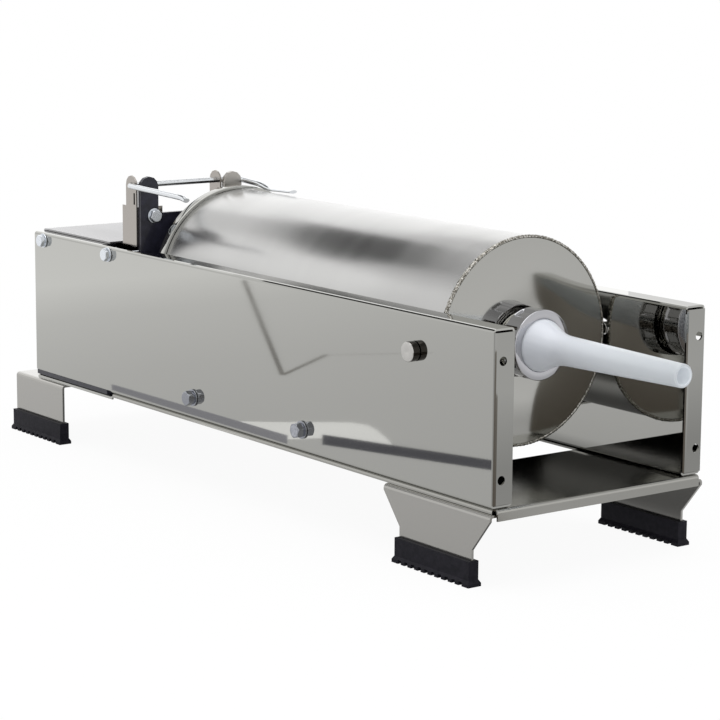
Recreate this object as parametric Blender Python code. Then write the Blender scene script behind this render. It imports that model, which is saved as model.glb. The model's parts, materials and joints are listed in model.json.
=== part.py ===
"""Horizontal sausage stuffer, modelled as separate pieces in metres with +Z up.

The machine lies along X with its spout toward +X. Sizes below are measured from three planes:
x = 0 at the front faces of the side panels, y = 0 through the cylinder's axis and z = 0 at the
bottom of the side panels. An empty moves that frame so the model's origin lies on the table,
under the middle of everything.
"""

import math

import bmesh
import bpy
from mathutils import Matrix, Vector

MM = 0.001

# Stock sizes
GAP = 0.3 * MM
SHEET = 1.5 * MM
PLATE = 4.0 * MM
BEND_RADIUS = 2.5 * MM
CUT_MARGIN = 5.0 * MM

# The cylinder and the clearances that set the side panels around it
TUBE_RADIUS = 80.0 * MM
TUBE_FLOOR_CLEARANCE = 18.65 * MM
TUBE_WALL_CLEARANCE = 3.2 * MM
CHANNEL_WIDTH = 19.1 * MM
TUBE_AXIS_COVER = 30.85 * MM
AXIS_Z = TUBE_RADIUS + TUBE_FLOOR_CLEARANCE
PANEL_HEIGHT = AXIS_Z + TUBE_AXIS_COVER
INNER_FACE_Y = TUBE_RADIUS + TUBE_WALL_CLEARANCE
HALF_WIDTH = INNER_FACE_Y + CHANNEL_WIDTH
PANEL_INNER_Y = HALF_WIDTH - SHEET

# Side panels
PANEL_LENGTH = 661.0 * MM
REAR_X = -PANEL_LENGTH
TOP_LIP = 24.5 * MM
LOW_LIP = 21.5 * MM
LIP_SETBACK = 8.5 * MM
BAY_LENGTH = 133.0 * MM
BAY_FRONT_X = REAR_X + BAY_LENGTH
BAY_EDGE_Z = 1.6 * MM
NOTCH_LENGTH = 70.0 * MM
FLANGE_HOLE_RADIUS = 3.4 * MM
FLANGE_HOLE_INSET = 7.1 * MM
FLANGE_HOLE_LOW = 20.5 * MM
FLANGE_HOLE_DROP = 23.0 * MM

# Base and legs
BASE_INSET = 1.4 * MM
BASE_HALF_WIDTH = HALF_WIDTH - BASE_INSET
BASE_HEM = 3.8 * MM
BASE_FLOOR_LENGTH = 120.0 * MM
FRONT_LIP_DROP = 8.7 * MM
FRONT_LIP_INSET = 3.7 * MM
FRONT_LIP_X = 1.2 * MM
SKIRT_HEM = 3.3 * MM
BASE_PLATE_THICKNESS = 3.9 * MM
BASE_PLATE_INSET = 0.7 * MM
FLOOR_DROP = 60.5 * MM
LEG_SHEET = 2.0 * MM
LEG_CLEARANCE = 1.4 * MM
LEG_HALF_WIDTH = BASE_HALF_WIDTH + LEG_CLEARANCE + LEG_SHEET
LEG_BEND = 3.0 * MM
LEG_END_Z = -53.5 * MM
FRONT_LEG_TOP = (-126.0 * MM, -1.0 * MM)
FRONT_LEG_FOOT = (-106.0 * MM, -20.8 * MM)
FRONT_LEG_SHOULDER_Z = -9.0 * MM
FRONT_LEG_KNEE_Z = -33.5 * MM
REAR_LEG_OVERHANG = 35.6 * MM
REAR_LEG_LENGTH = 86.0 * MM

# Rubber shoes
SHOE_LENGTH = 88.0 * MM
SHOE_HEIGHT = 19.0 * MM
SHOE_WALL = 3.2 * MM
SHOE_FLARE = 1.5 * MM
SHOE_FLARE_HEIGHT = 5.0 * MM
SHOE_GROOVES = 10
SHOE_GROOVE_WIDTH = 3.6 * MM
SHOE_GROOVE_DEPTH = 3.0 * MM

# Gearbox front plate and its ears
GEARBOX_LENGTH = 161.0 * MM
FRONT_PLATE_X = REAR_X + GEARBOX_LENGTH
FRONT_PLATE_MARGIN = 7.0 * MM
FRONT_PLATE_HALF_WIDTH = TUBE_RADIUS + FRONT_PLATE_MARGIN
FRONT_PLATE_FAR_Y = INNER_FACE_Y - GAP
FRONT_PLATE_RISE = 61.35 * MM
FRONT_PLATE_TOP_Z = AXIS_Z + FRONT_PLATE_RISE
FRONT_PLATE_FAR_DROP = 3.5 * MM
EAR_WIDTH = 18.0 * MM
EAR_OFF_CENTRE = 0.5 * MM
EAR_PITCH = FRONT_PLATE_HALF_WIDTH - EAR_OFF_CENTRE
RACK_WINDOW_MARGIN = 1.0 * MM

# Cylinder
TUBE_WALL = 1.2 * MM
RIM_CLEARANCE = 13.5 * MM
RIM_X = FRONT_PLATE_X + RIM_CLEARANCE
RIM_WIDTH = 8.0 * MM
RIM_HEIGHT = 2.9 * MM
DISC_FRONT_X = -90.0 * MM
OUTLET_RADIUS = 17.0 * MM
BEAD_HEIGHT = 1.3 * MM
BEAD_WIDTH = 3.4 * MM
BEAD_SHOULDER = 0.5 * MM
TRUNNION_SETBACK = 3.0 * MM
TRUNNION_RISE = 2.35 * MM
TRUNNION_RADIUS = 4.7 * MM
TRUNNION_STICKOUT = 2.0 * MM
TRUNNION_HOLE_RADIUS = 6.2 * MM

# Spout
NECK_LENGTH = 12.4 * MM
NECK_RADIUS = 22.0 * MM
NECK_THREAD_PITCH = 4.0 * MM
NECK_THREAD_DEPTH = 0.8 * MM
NUT_REACH = 8.9 * MM
NUT_LENGTH = 16.5 * MM
NUT_WALL = 4.9 * MM
NUT_LUGS = 8
NUT_FLUTE_DEPTH = 1.9 * MM
NUT_LIP = 3.2 * MM
NUT_MOUTH_RADIUS = 20.1 * MM
NUT_EDGE = 1.0 * MM
WASHER_LENGTH = 2.0 * MM
NOZZLE_FLANGE_LENGTH = 2.8 * MM
NOZZLE_CONE_LENGTH = 21.7 * MM
NOZZLE_LENGTH = 151.7 * MM
NOZZLE_NECK_RADIUS = 11.5 * MM
NOZZLE_TIP_RADIUS = 8.6 * MM
NOZZLE_WALL = 2.2 * MM
NOZZLE_EDGE = 1.0 * MM

# Latch: its pivot, then the bail's bends as reach in front of the pivot and drop below it
LATCH_SETBACK = 12.0 * MM
LATCH_CLEARANCE = 5.35 * MM
LATCH_X = FRONT_PLATE_X - LATCH_SETBACK
LATCH_Z = AXIS_Z + TUBE_RADIUS + LATCH_CLEARANCE
EAR_RISE = 8.0 * MM
BAIL_RADIUS = 2.4 * MM
BAIL_BEND = 5.0 * MM
BAIL_NEAR_STANDOFF = 5.3 * MM
BAIL_FAR_STANDOFF = 3.5 * MM
BAIL_NEAR_END = (95.0 * MM, 7.0 * MM)
BAIL_NEAR_HOOK = (90.0 * MM, 2.5 * MM)
BAIL_RIM_POINT = (38.0 * MM, 1.8 * MM)
BAIL_FOOT_START = (49.0 * MM, 3.8 * MM)
BAIL_FAR_END = (87.0 * MM, 1.8 * MM)
BAIL_TIP_SHARES = (1.7, 0.62)
LATCH_STRIP_WIDTH = 17.0 * MM
LATCH_STRIP_FOOT = 23.0 * MM
LATCH_STRIP_STEP_DROP = 18.0 * MM
LATCH_STRIP_CLEARANCE = 1.5 * MM
LATCH_STRIP_RISE = 8.5 * MM
LATCH_LEG_WIDTH = 26.5 * MM
LATCH_LEG_RISE = 5.5 * MM
LATCH_SLOT_OFFSET = 4.4 * MM
LATCH_SLOT_DROPS = (16.4 * MM, 6.4 * MM)
LATCH_SLOT_WIDTH = 2.4 * MM
LATCH_BOLT_INSET = 13.0 * MM
LATCH_BOLT_DROP = 2.0 * MM
SUNK_HEAD_RADIUS = 5.8 * MM
SUNK_HEAD_DEPTH = 2.8 * MM

# Rear cover
COVER_LENGTH = 116.0 * MM
COVER_FRONT_X = REAR_X + COVER_LENGTH
COVER_INSET = 8.8 * MM
COVER_SKIRT_LOW_Z = 3.0 * MM
COVER_TAB_LENGTH = 30.0 * MM
COVER_TAB_HEIGHT = 21.5 * MM

# Cheeks, angles and spacers
CHEEK_Y = 30.0 * MM
CHEEK_INSET = 6.0 * MM
CHEEK_DROP = 5.5 * MM
CHEEK_FOOT = 18.0 * MM
CHEEK_FOOT_LENGTH = 121.0 * MM
CHEEK_SHAFT_STICKOUT = 3.0 * MM
ANGLE_SHEET = 3.0 * MM
ANGLE_LENGTH = 40.0 * MM
ANGLE_REACH = 34.0 * MM
ANGLE_LOW_Z = 20.0 * MM
ANGLE_DROP = 2.0 * MM
SPACER_RADIUS = 5.0 * MM
FRONT_SPACER_SETBACK = 20.0 * MM
FRONT_SPACER_Z = 24.0 * MM
REAR_SPACER_INSET = 16.0 * MM
REAR_SPACER_Z = 30.0 * MM
GUIDE_THICKNESS = 11.0 * MM
GUIDE_MARGIN = 7.0 * MM
REAR_GUIDE_INSET = 11.0 * MM

# Rack and piston
RACK_WIDTH = 16.0 * MM
RACK_HEIGHT = 18.0 * MM
RACK_INSET = 6.0 * MM
PISTON_SETBACK = 4.5 * MM
PISTON_PLATE = 3.0 * MM
PISTON_SEAL = 6.0 * MM
PISTON_PLATE_MARGIN = 0.6 * MM
PISTON_BACK_MARGIN = 1.3 * MM
PISTON_BOLT_RADIUS = 3.5 * MM
PISTON_BOLT_DEPTH = 30.0 * MM
PISTON_NUT_RADIUS = 9.0 * MM
PISTON_NUT_LENGTH = 3.2 * MM
VALVE_INSET = 32.0 * MM
VALVE_RADIUS = 6.0 * MM
VALVE_HEAD_RADIUS = 9.0 * MM
VALVE_HEAD = 1.6 * MM

# Gear train
PRESSURE_ANGLE = math.radians(20.0)
ADDENDUM_SHARE = 0.8
DEDENDUM_SHARE = 1.05
BACKLASH = 0.5 * MM
RACK_MODULE = 2.5 * MM
RACK_PINION_TEETH = 14
RACK_PINION_HALF_WIDTH = 9.0 * MM
GEAR_MODULE = 2.0 * MM
GEAR_TEETH = 42
DRIVE_PINION_TEETH = 14
GEAR_Y = (14.0 * MM, 24.0 * MM)
DRIVE_PINION_MARGIN = 1.5 * MM
GEAR_WEB_DEPTH = 2.5 * MM
GEAR_HUB_RADIUS = 16.0 * MM
GEAR_RIM_SHARE = 0.84
PINION_SHAFT_INSET = 101.0 * MM
PINION_SHAFT_RADIUS = 8.0 * MM
PINION_SHAFT_STICKOUT = 8.7 * MM
CRANK_SHAFT_RADIUS = 7.0 * MM
SHAFT_CHAMFER = 1.0 * MM
SHAFT_THREAD_DEPTH = 20.0 * MM
BUSH_WALL = 3.0 * MM
BUSH_FLANGE = 3.5 * MM
BUSH_FLANGE_LENGTH = 2.0 * MM
BUSH_STICKOUT = 2.5 * MM

# Crank
CRANK_RADIUS = 105.0 * MM
CRANK_HUB_RADIUS = 13.0 * MM
CRANK_HUB_CLEARANCE = 3.4 * MM
CRANK_LEG_CLEARANCE = 4.7 * MM
CRANK_ARM_THICKNESS = 5.0 * MM
CRANK_ARM_HALF_WIDTHS = (10.0 * MM, 8.0 * MM)
SPINDLE_RADIUS = 4.0 * MM
SPINDLE_HEAD_RADIUS = 7.0 * MM
SPINDLE_HEAD = 1.5 * MM
SPINDLE_COLLAR = 2.0 * MM
GRIP_LENGTH = 72.0 * MM
GRIP_RADIUS = 13.5 * MM
GRIP_SHARES = ((0.0, 0.62), (0.03, 0.74), (0.12, 0.84), (0.35, 0.98), (0.55, 1.0), (0.8, 0.9),
               (0.94, 0.8), (1.0, 0.66))
SPINDLE_CAP = 3.0 * MM

# Cylinder cradle
CRADLE_DROP = 10.65 * MM
CRADLE_TAB_HEIGHT = 19.0 * MM
CRADLE_BOLT_RISE = 9.6 * MM
CRADLE_BOLT_SPACING = 158.5 * MM
CRADLE_SETBACK = 26.2 * MM
CRADLE_MARGIN = 11.2 * MM
SADDLE_LENGTH = 12.0 * MM
SADDLE_INSET = 14.0 * MM
SADDLE_HALF_WIDTH = 30.0 * MM

# Hexagon bolts, all one size
BOLT_RADIUS = 3.0 * MM
BOLT_FLATS = 10.0 * MM
BOLT_HEAD = 4.0 * MM
BOLT_DOME = 1.0 * MM
WASHER_RADIUS = 6.4 * MM
WASHER_THICKNESS = 1.2 * MM
NEAR_BOLT_DROP = 6.9 * MM
FAR_BOLT_DROP = 9.5 * MM
COVER_BOLT_INSET = 17.0 * MM
ANGLE_BOLT_SETBACK = 30.0 * MM

# Facets on round surfaces
FINE = 48
MEDIUM = 32
SMALL = 16
BOLT_FACETS = 12
BEND_STEPS = 3
FLANK_STEPS = 3

# Places that follow from the sizes above: base and legs
TRAY_TOP_Z = -GAP
BASE_PLATE_TOP_Z = BAY_EDGE_Z - GAP
BASE_PLATE_LOW_Z = BASE_PLATE_TOP_Z - BASE_PLATE_THICKNESS
SKIRT_TOP_Z = BASE_PLATE_LOW_Z - GAP
FRONT_LEG_Z = TRAY_TOP_Z - BASE_HEM - GAP
REAR_LEG_Z = SKIRT_TOP_Z - SKIRT_HEM - GAP
REAR_LEG_X = (REAR_X - REAR_LEG_OVERHANG, REAR_X - REAR_LEG_OVERHANG + REAR_LEG_LENGTH)
SHOE_HALF_WIDTH = SHOE_WALL + GAP + LEG_SHEET / 2
LEG_MIDDLE_Y = LEG_HALF_WIDTH - LEG_SHEET / 2
FRONT_SHOE_X = sum(FRONT_LEG_FOOT) / 2
REAR_SHOE_X = sum(REAR_LEG_X) / 2
SIDE_EXTENT = LEG_MIDDLE_Y + SHOE_HALF_WIDTH + SHOE_FLARE
REAR_EXTENT = REAR_SHOE_X - SHOE_LENGTH / 2 - SHOE_FLARE

# Cylinder, spout and piston
TUBE_INNER = TUBE_RADIUS - TUBE_WALL
DISC_BACK_X = DISC_FRONT_X - SHEET
TUBE_FRONT_X = DISC_BACK_X - GAP
RIM_RADIUS = TUBE_RADIUS + RIM_HEIGHT
BEAD_RADIUS = TUBE_RADIUS + BEAD_HEIGHT
TRUNNION_X = DISC_FRONT_X - TRUNNION_SETBACK
TRUNNION_Z = AXIS_Z + TRUNNION_RISE
NECK_END_X = DISC_FRONT_X + NECK_LENGTH
NUT_FACE_X = NECK_END_X + NUT_REACH
NUT_BACK_X = NUT_FACE_X - NUT_LENGTH
NUT_RADIUS = NECK_RADIUS + NUT_WALL
NUT_BORE_RADIUS = NECK_RADIUS + 2 * GAP
NOZZLE_FLANGE_RADIUS = NUT_BORE_RADIUS - GAP
NOZZLE_BASE_RADIUS = NUT_MOUTH_RADIUS - GAP
NOZZLE_CONE_END_X = NUT_FACE_X + NOZZLE_CONE_LENGTH
NOZZLE_TIP_X = NUT_FACE_X + NOZZLE_LENGTH
WASHER_FRONT_X = NECK_END_X + GAP + WASHER_LENGTH
FLANGE_BACK_X = WASHER_FRONT_X + GAP
FLANGE_FRONT_X = FLANGE_BACK_X + NOZZLE_FLANGE_LENGTH
PISTON_FRONT_X = DISC_BACK_X - PISTON_SETBACK
SEAL_FRONT_X = PISTON_FRONT_X - PISTON_PLATE - GAP
BACK_PLATE_X = SEAL_FRONT_X - PISTON_SEAL - GAP
RACK_FRONT_X = BACK_PLATE_X - PISTON_PLATE - GAP
RACK_REAR_X = REAR_X + RACK_INSET
RACK_TOP_Z = AXIS_Z + RACK_HEIGHT / 2
RACK_TIP_Z = AXIS_Z - RACK_HEIGHT / 2
RACK_PITCH_Z = RACK_TIP_Z + ADDENDUM_SHARE * RACK_MODULE
RACK_ROOT_Z = RACK_PITCH_Z + DEDENDUM_SHARE * RACK_MODULE

# Gearbox, latch and cover
PLATE_BACK_X = FRONT_PLATE_X - PLATE
FRONT_PLATE_FAR_Z = PANEL_HEIGHT - FRONT_PLATE_FAR_DROP
EAR_TOP_Z = LATCH_Z + EAR_RISE
LATCH_BOLT_Y = LATCH_BOLT_INSET - FRONT_PLATE_HALF_WIDTH
LATCH_BOLT_Z = FRONT_PLATE_TOP_Z - LATCH_BOLT_DROP
BAIL_NEAR_Y = -FRONT_PLATE_HALF_WIDTH - BAIL_NEAR_STANDOFF
BAIL_FAR_Y = EAR_PITCH - FRONT_PLATE_HALF_WIDTH + EAR_WIDTH + BAIL_FAR_STANDOFF
LIP_REAR_X = RIM_X + RIM_WIDTH + LIP_SETBACK
FAR_WEB_Y = INNER_FACE_Y + SHEET
GEARBOX_EDGES_Y = (GAP - PANEL_INNER_Y, INNER_FACE_Y - GAP)
SHAFT_Z = RACK_PITCH_Z - RACK_MODULE * RACK_PINION_TEETH / 2
PINION_SHAFT_X = REAR_X + PINION_SHAFT_INSET
CRANK_SHAFT_X = PINION_SHAFT_X - GEAR_MODULE * (GEAR_TEETH + DRIVE_PINION_TEETH) / 2
SPACERS = (("cheek_spacer_front", (FRONT_PLATE_X - FRONT_SPACER_SETBACK, FRONT_SPACER_Z)),
           ("cheek_spacer_rear", (REAR_X + REAR_SPACER_INSET, REAR_SPACER_Z)))
CRANK_ARM_Y = SIDE_EXTENT + CRANK_LEG_CLEARANCE
CRANK_HUB_Y = (FAR_WEB_Y + GAP + BUSH_FLANGE_LENGTH + CRANK_HUB_CLEARANCE,
               CRANK_ARM_Y + CRANK_ARM_THICKNESS)
SHAFT_INNER_Y = -CHEEK_Y - PLATE - CHEEK_SHAFT_STICKOUT
PINION_SHAFT_Y = (SHAFT_INNER_Y, FAR_WEB_Y + PINION_SHAFT_STICKOUT)
CRANK_SHAFT_Y = (SHAFT_INNER_Y, CRANK_HUB_Y[1] - GAP)
GRIP_START_Y = CRANK_HUB_Y[1] + GAP + SPINDLE_COLLAR + GAP
GRIP_END_Y = GRIP_START_Y + GRIP_LENGTH
SPINDLE_END_Y = GRIP_END_Y + GAP + SPINDLE_CAP
GRIP_Z = SHAFT_Z - CRANK_RADIUS

# Cradle and bolts
CRADLE_Z = TUBE_FLOOR_CLEARANCE - CRADLE_DROP
CRADLE_BOLT_Z = CRADLE_Z + CRADLE_BOLT_RISE
CRADLE_MIDDLE_X = (RIM_X + DISC_FRONT_X) / 2 - CRADLE_SETBACK
CRADLE_BOLTS_X = (CRADLE_MIDDLE_X - CRADLE_BOLT_SPACING / 2, CRADLE_MIDDLE_X + CRADLE_BOLT_SPACING / 2)
CRADLE_X = (CRADLE_BOLTS_X[0] - CRADLE_MARGIN, CRADLE_BOLTS_X[1] + CRADLE_MARGIN)
CRADLE_HALF_WIDTH = INNER_FACE_Y - GAP
HIGH_BOLTS_Z = (PANEL_HEIGHT - NEAR_BOLT_DROP, PANEL_HEIGHT - FAR_BOLT_DROP)
COVER_BOLT_X = REAR_X + COVER_BOLT_INSET
ANGLE_BOLT_X = FRONT_PLATE_X - ANGLE_BOLT_SETBACK

# The model's origin: on the table, under the middle of everything
ORIGIN_SHIFT = (-(REAR_EXTENT + NOZZLE_TIP_X) / 2, -(SPINDLE_END_Y - SIDE_EXTENT) / 2, FLOOR_DROP)

# Finishes: colour, metallic, roughness
MIRROR_STEEL = ((0.72, 0.71, 0.68), 1.0, 0.08)
SATIN_STEEL = ((0.70, 0.70, 0.68), 1.0, 0.28)
WELD_STEEL = ((0.55, 0.54, 0.50), 1.0, 0.45)
CHROME = ((0.78, 0.78, 0.79), 1.0, 0.06)
ZINC = ((0.62, 0.66, 0.68), 1.0, 0.25)
BLACK_STEEL = ((0.02, 0.02, 0.025), 0.3, 0.35)
GEAR_STEEL = ((0.45, 0.45, 0.46), 1.0, 0.35)
BRONZE = ((0.55, 0.38, 0.18), 1.0, 0.35)
RUBBER = ((0.015, 0.015, 0.015), 0.0, 0.7)
WHITE_PLASTIC = ((0.86, 0.87, 0.89), 0.0, 0.3)
SEAL_RUBBER = ((0.75, 0.73, 0.68), 0.0, 0.6)
BLACK_PLASTIC = ((0.03, 0.03, 0.03), 0.0, 0.4)


def clear_scene():
    for obj in list(bpy.data.objects):
        bpy.data.objects.remove(obj, do_unlink=True)


def finish_material(name, finish):
    colour, metallic, roughness = finish
    material = bpy.data.materials.new(name)
    material.use_nodes = True
    shader = material.node_tree.nodes["Principled BSDF"]
    shader.inputs["Base Color"].default_value = (*colour, 1.0)
    shader.inputs["Metallic"].default_value = metallic
    shader.inputs["Roughness"].default_value = roughness
    return material


def on_axes(axis, along, across, up):
    """Point for a shape drawn on the two axes after `axis`: X takes (y, z), Y (x, z), Z (x, y)."""
    return {"X": (along, across, up), "Y": (across, along, up), "Z": (across, up, along)}[axis]


def prism(outline, axis, low, high):
    """Closed solid: `outline` pushed along `axis` from low to high."""
    shape = bmesh.new()
    rows = [[shape.verts.new(on_axes(axis, end, a, b)) for a, b in outline] for end in (low, high)]
    join_rings(shape, rows)
    return shape


def join_rings(shape, rings, closed_loop=False):
    """Skin over rings of equal counts; open chains are capped at both ends."""
    count = len(rings[0])
    pairs = list(zip(rings, rings[1:]))
    if closed_loop:
        pairs.append((rings[-1], rings[0]))
    for first, second in pairs:
        for i in range(count):
            j = (i + 1) % count
            shape.faces.new((first[i], first[j], second[j], second[i]))
    if not closed_loop:
        shape.faces.new(list(reversed(rings[0])))
        shape.faces.new(rings[-1])
    bmesh.ops.recalc_face_normals(shape, faces=shape.faces)


def block(low, high):
    """Box between two corners."""
    outline = [(low[1], low[2]), (high[1], low[2]), (high[1], high[2]), (low[1], high[2])]
    return prism(outline, "X", low[0], high[0])


def circle(centre, radius, count):
    return [(centre[0] + radius * math.cos(2 * math.pi * i / count),
             centre[1] + radius * math.sin(2 * math.pi * i / count)) for i in range(count)]


def round_bar(axis, centre, radius, low, high, count=SMALL):
    """Plain cylinder along an axis; centre is given on the other two axes."""
    return prism(circle(centre, radius, count), axis, low, high)


def turned(axis, centre, profile, count, hollow=False):
    """Solid of revolution. `profile` lists (along, radius); a hollow one is a closed loop."""
    shape = bmesh.new()
    rings = []
    for along, radius in profile:
        ring = circle(centre, radius, count)
        rings.append([shape.verts.new(on_axes(axis, along, a, b)) for a, b in ring])
    join_rings(shape, rings, closed_loop=hollow)
    return shape


def hex_radius(angle, flats):
    """Radius of a hexagon with a corner at angle 0."""
    step = math.radians(60)
    return flats / 2 / math.cos(angle % step - step / 2)


def fastener(axis, centre, sections):
    """Bolt-like solid from stacked sections (start, end, size, is_hexagon) in order along its axis."""
    shape = bmesh.new()
    rings = []
    for start, end, size, is_hexagon in sections:
        for along in dict.fromkeys((start, end)):
            ring = []
            for i in range(BOLT_FACETS):
                angle = 2 * math.pi * i / BOLT_FACETS
                radius = hex_radius(angle, size) if is_hexagon else size
                point = (centre[0] + radius * math.cos(angle), centre[1] + radius * math.sin(angle))
                ring.append(shape.verts.new(on_axes(axis, along, *point)))
            rings.append(ring)
    join_rings(shape, rings)
    return shape


def bolt(axis, centre, head_face, nut_face, way):
    """Hexagon bolt. Its head and washer bear on `head_face`, its nut on `nut_face`, and `way` is
    +1 where the head is on the axis's positive side."""
    dome_top = head_face + way * (GAP + WASHER_THICKNESS + BOLT_HEAD)
    washer_top = head_face + way * (GAP + WASHER_THICKNESS)
    washer_low = head_face + way * GAP
    nut_start = nut_face - way * GAP
    nut_end = nut_start - way * BOLT_HEAD
    sections = [
        (dome_top, dome_top - way * BOLT_DOME, BOLT_FLATS / 2, False),
        (dome_top - way * BOLT_DOME, washer_top, BOLT_FLATS, True),
        (washer_top, washer_low, WASHER_RADIUS, False),
        (washer_low, nut_start, BOLT_RADIUS, False),
        (nut_start, nut_end, BOLT_FLATS, True),
    ]
    return fastener(axis, centre, sections)


def merged(shapes):
    """One mesh that holds several separate solids."""
    total = bmesh.new()
    for shape in shapes:
        mesh = bpy.data.meshes.new("piece")
        shape.to_mesh(mesh)
        shape.free()
        total.from_mesh(mesh)
        bpy.data.meshes.remove(mesh)
    return total


def scene_object(name, shape, pivot):
    mesh = bpy.data.meshes.new(name)
    bmesh.ops.recalc_face_normals(shape, faces=shape.faces)
    shape.to_mesh(mesh)
    shape.free()
    mesh.transform(Matrix.Translation(-Vector(pivot)))
    obj = bpy.data.objects.new(name, mesh)
    obj.location = pivot
    obj.parent = FRAME
    bpy.context.scene.collection.objects.link(obj)
    return obj


def smooth_rounds(obj):
    obj.data.shade_smooth()
    obj.data.set_sharp_from_angle(angle=math.radians(32))


def piece(name, shape, finish, joins=(), cuts=(), pivot=(0.0, 0.0, 0.0)):
    """One named piece: its base shape, shapes joined to it, then shapes cut away from it."""
    obj = scene_object(name, shape, pivot)
    obj.data.materials.append(finish_material(name + "_finish", finish))
    smooth_rounds(obj)
    for operation, shapes in (("UNION", joins), ("DIFFERENCE", cuts)):
        for number, tool_shape in enumerate(shapes):
            tool = scene_object(f"{name}_{operation.lower()}_{number}", tool_shape, (0.0, 0.0, 0.0))
            tool.hide_render = True
            tool.display_type = "WIRE"
            modifier = obj.modifiers.new(operation.title(), "BOOLEAN")
            modifier.operation = operation
            modifier.object = tool
    return obj


def arc(centre, radius, start, end, steps):
    """Points along an arc; angles in degrees."""
    points = []
    for i in range(steps + 1):
        angle = math.radians(start + (end - start) * i / steps)
        points.append((centre[0] + radius * math.cos(angle), centre[1] + radius * math.sin(angle)))
    return points


def folded_panel(web_y):
    """Folded sheet: a web at `web_y` with top and bottom flanges towards +Y that end in lips.

    The front flange grows out of the web between the two bends, so open seams stay at its ends.
    """
    inner = BEND_RADIUS - SHEET
    top, width = PANEL_HEIGHT, CHANNEL_WIDTH
    web_edges = (BEND_RADIUS, top - BEND_RADIUS)
    web_low, web_high = [(BEND_RADIUS, z) for z in web_edges]
    lip_low, lip_high = [(width - BEND_RADIUS, z) for z in web_edges]
    low = [(width, LOW_LIP)] + arc(lip_low, BEND_RADIUS, 0, -90, BEND_STEPS)
    low += arc(web_low, BEND_RADIUS, -90, -180, BEND_STEPS)
    high = arc(web_high, BEND_RADIUS, 180, 90, BEND_STEPS) + arc(lip_high, BEND_RADIUS, 90, 0, BEND_STEPS)
    high.append((width, top - TOP_LIP))
    high_inside = [(width - SHEET, top - TOP_LIP)] + arc(lip_high, inner, 0, 90, BEND_STEPS)
    high_inside += arc(web_high, inner, 90, 180, BEND_STEPS)
    low_inside = arc(web_low, inner, -180, -90, BEND_STEPS) + arc(lip_low, inner, -90, 0, BEND_STEPS)
    low_inside.append((width - SHEET, LOW_LIP))
    section = low + high + high_inside + low_inside

    shape = bmesh.new()
    rings = [[shape.verts.new((x, web_y + out, z)) for out, z in section] for x in (REAR_X, -BEND_RADIUS)]
    rear, front = rings
    count = len(section)
    for i in range(count):
        j = (i + 1) % count
        shape.faces.new((rear[i], rear[j], front[j], front[i]))
    shape.faces.new(rear)
    split = len(low)
    shape.faces.new(front[:split] + front[count - len(low_inside):])
    shape.faces.new(front[split:count - len(low_inside)])

    tip = width - SHEET - GAP
    plan = arc((-BEND_RADIUS, BEND_RADIUS), BEND_RADIUS, -90, 0, BEND_STEPS)[1:]
    plan += [(0.0, tip), (-SHEET, tip)]
    plan += arc((-BEND_RADIUS, BEND_RADIUS), inner, 0, -90, BEND_STEPS)[:-1]
    ends = []
    for z, outer_vert, inner_vert in ((web_edges[0], front[split - 1], front[count - len(low_inside)]),
                                      (web_edges[1], front[split], front[count - len(low_inside) - 1])):
        ends.append([outer_vert] + [shape.verts.new((x, web_y + out, z)) for x, out in plan] + [inner_vert])
        shape.faces.new(ends[-1])
    for i in range(len(ends[0]) - 1):
        shape.faces.new((ends[0][i], ends[0][i + 1], ends[1][i + 1], ends[1][i]))
    bmesh.ops.recalc_face_normals(shape, faces=shape.faces)
    return shape


def build_side_panel(name, side):
    """Side panel with its openings for the gearbox, the bolts, the trunnion and the shafts.

    Both panels turn their flanges towards +Y: the near one's web is outside, the far one's inside.
    """
    top = PANEL_HEIGHT
    web_y = -HALF_WIDTH if side < 0 else INNER_FACE_Y
    lip_y = web_y + CHANNEL_WIDTH
    notch_end = COVER_FRONT_X + NOTCH_LENGTH
    before, beyond = REAR_X - CUT_MARGIN, lip_y + CUT_MARGIN
    flange_y = web_y + BEND_RADIUS
    cuts = [block((COVER_FRONT_X, flange_y, top - CUT_MARGIN), (notch_end, beyond, top + CUT_MARGIN)),
            block((before, web_y - CUT_MARGIN, -CUT_MARGIN), (BAY_FRONT_X, beyond, BAY_EDGE_Z)),
            block((before, lip_y - BEND_RADIUS, -CUT_MARGIN), (LIP_REAR_X, beyond, top + CUT_MARGIN))]

    through = sorted((side * (INNER_FACE_Y - CUT_MARGIN), side * (HALF_WIDTH + CUT_MARGIN)))
    hole_z = TRUNNION_Z + TRUNNION_HOLE_RADIUS - TRUNNION_RADIUS - GAP
    holes = [round_bar("Y", (TRUNNION_X, hole_z), TRUNNION_HOLE_RADIUS, *through, MEDIUM)]
    bolt_points = [(x, HIGH_BOLTS_Z[side > 0]) for x in (COVER_BOLT_X, ANGLE_BOLT_X)]
    bolt_points += [(x, CRADLE_BOLT_Z) for x in CRADLE_BOLTS_X]
    for point in bolt_points:
        holes.append(round_bar("Y", point, BOLT_RADIUS + GAP, *through))
    for z in (FLANGE_HOLE_LOW, top - FLANGE_HOLE_DROP):
        centre = (side * (HALF_WIDTH - FLANGE_HOLE_INSET), z)
        holes.append(round_bar("X", centre, FLANGE_HOLE_RADIUS, -BEND_RADIUS, CUT_MARGIN))
    if side > 0:
        for x, radius in ((PINION_SHAFT_X, PINION_SHAFT_RADIUS), (CRANK_SHAFT_X, CRANK_SHAFT_RADIUS)):
            holes.append(round_bar("Y", (x, SHAFT_Z), radius + BUSH_WALL + 2 * GAP, *through, MEDIUM))
    cuts.append(merged(holes))
    piece(name, folded_panel(web_y), MIRROR_STEEL, cuts=cuts)


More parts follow.
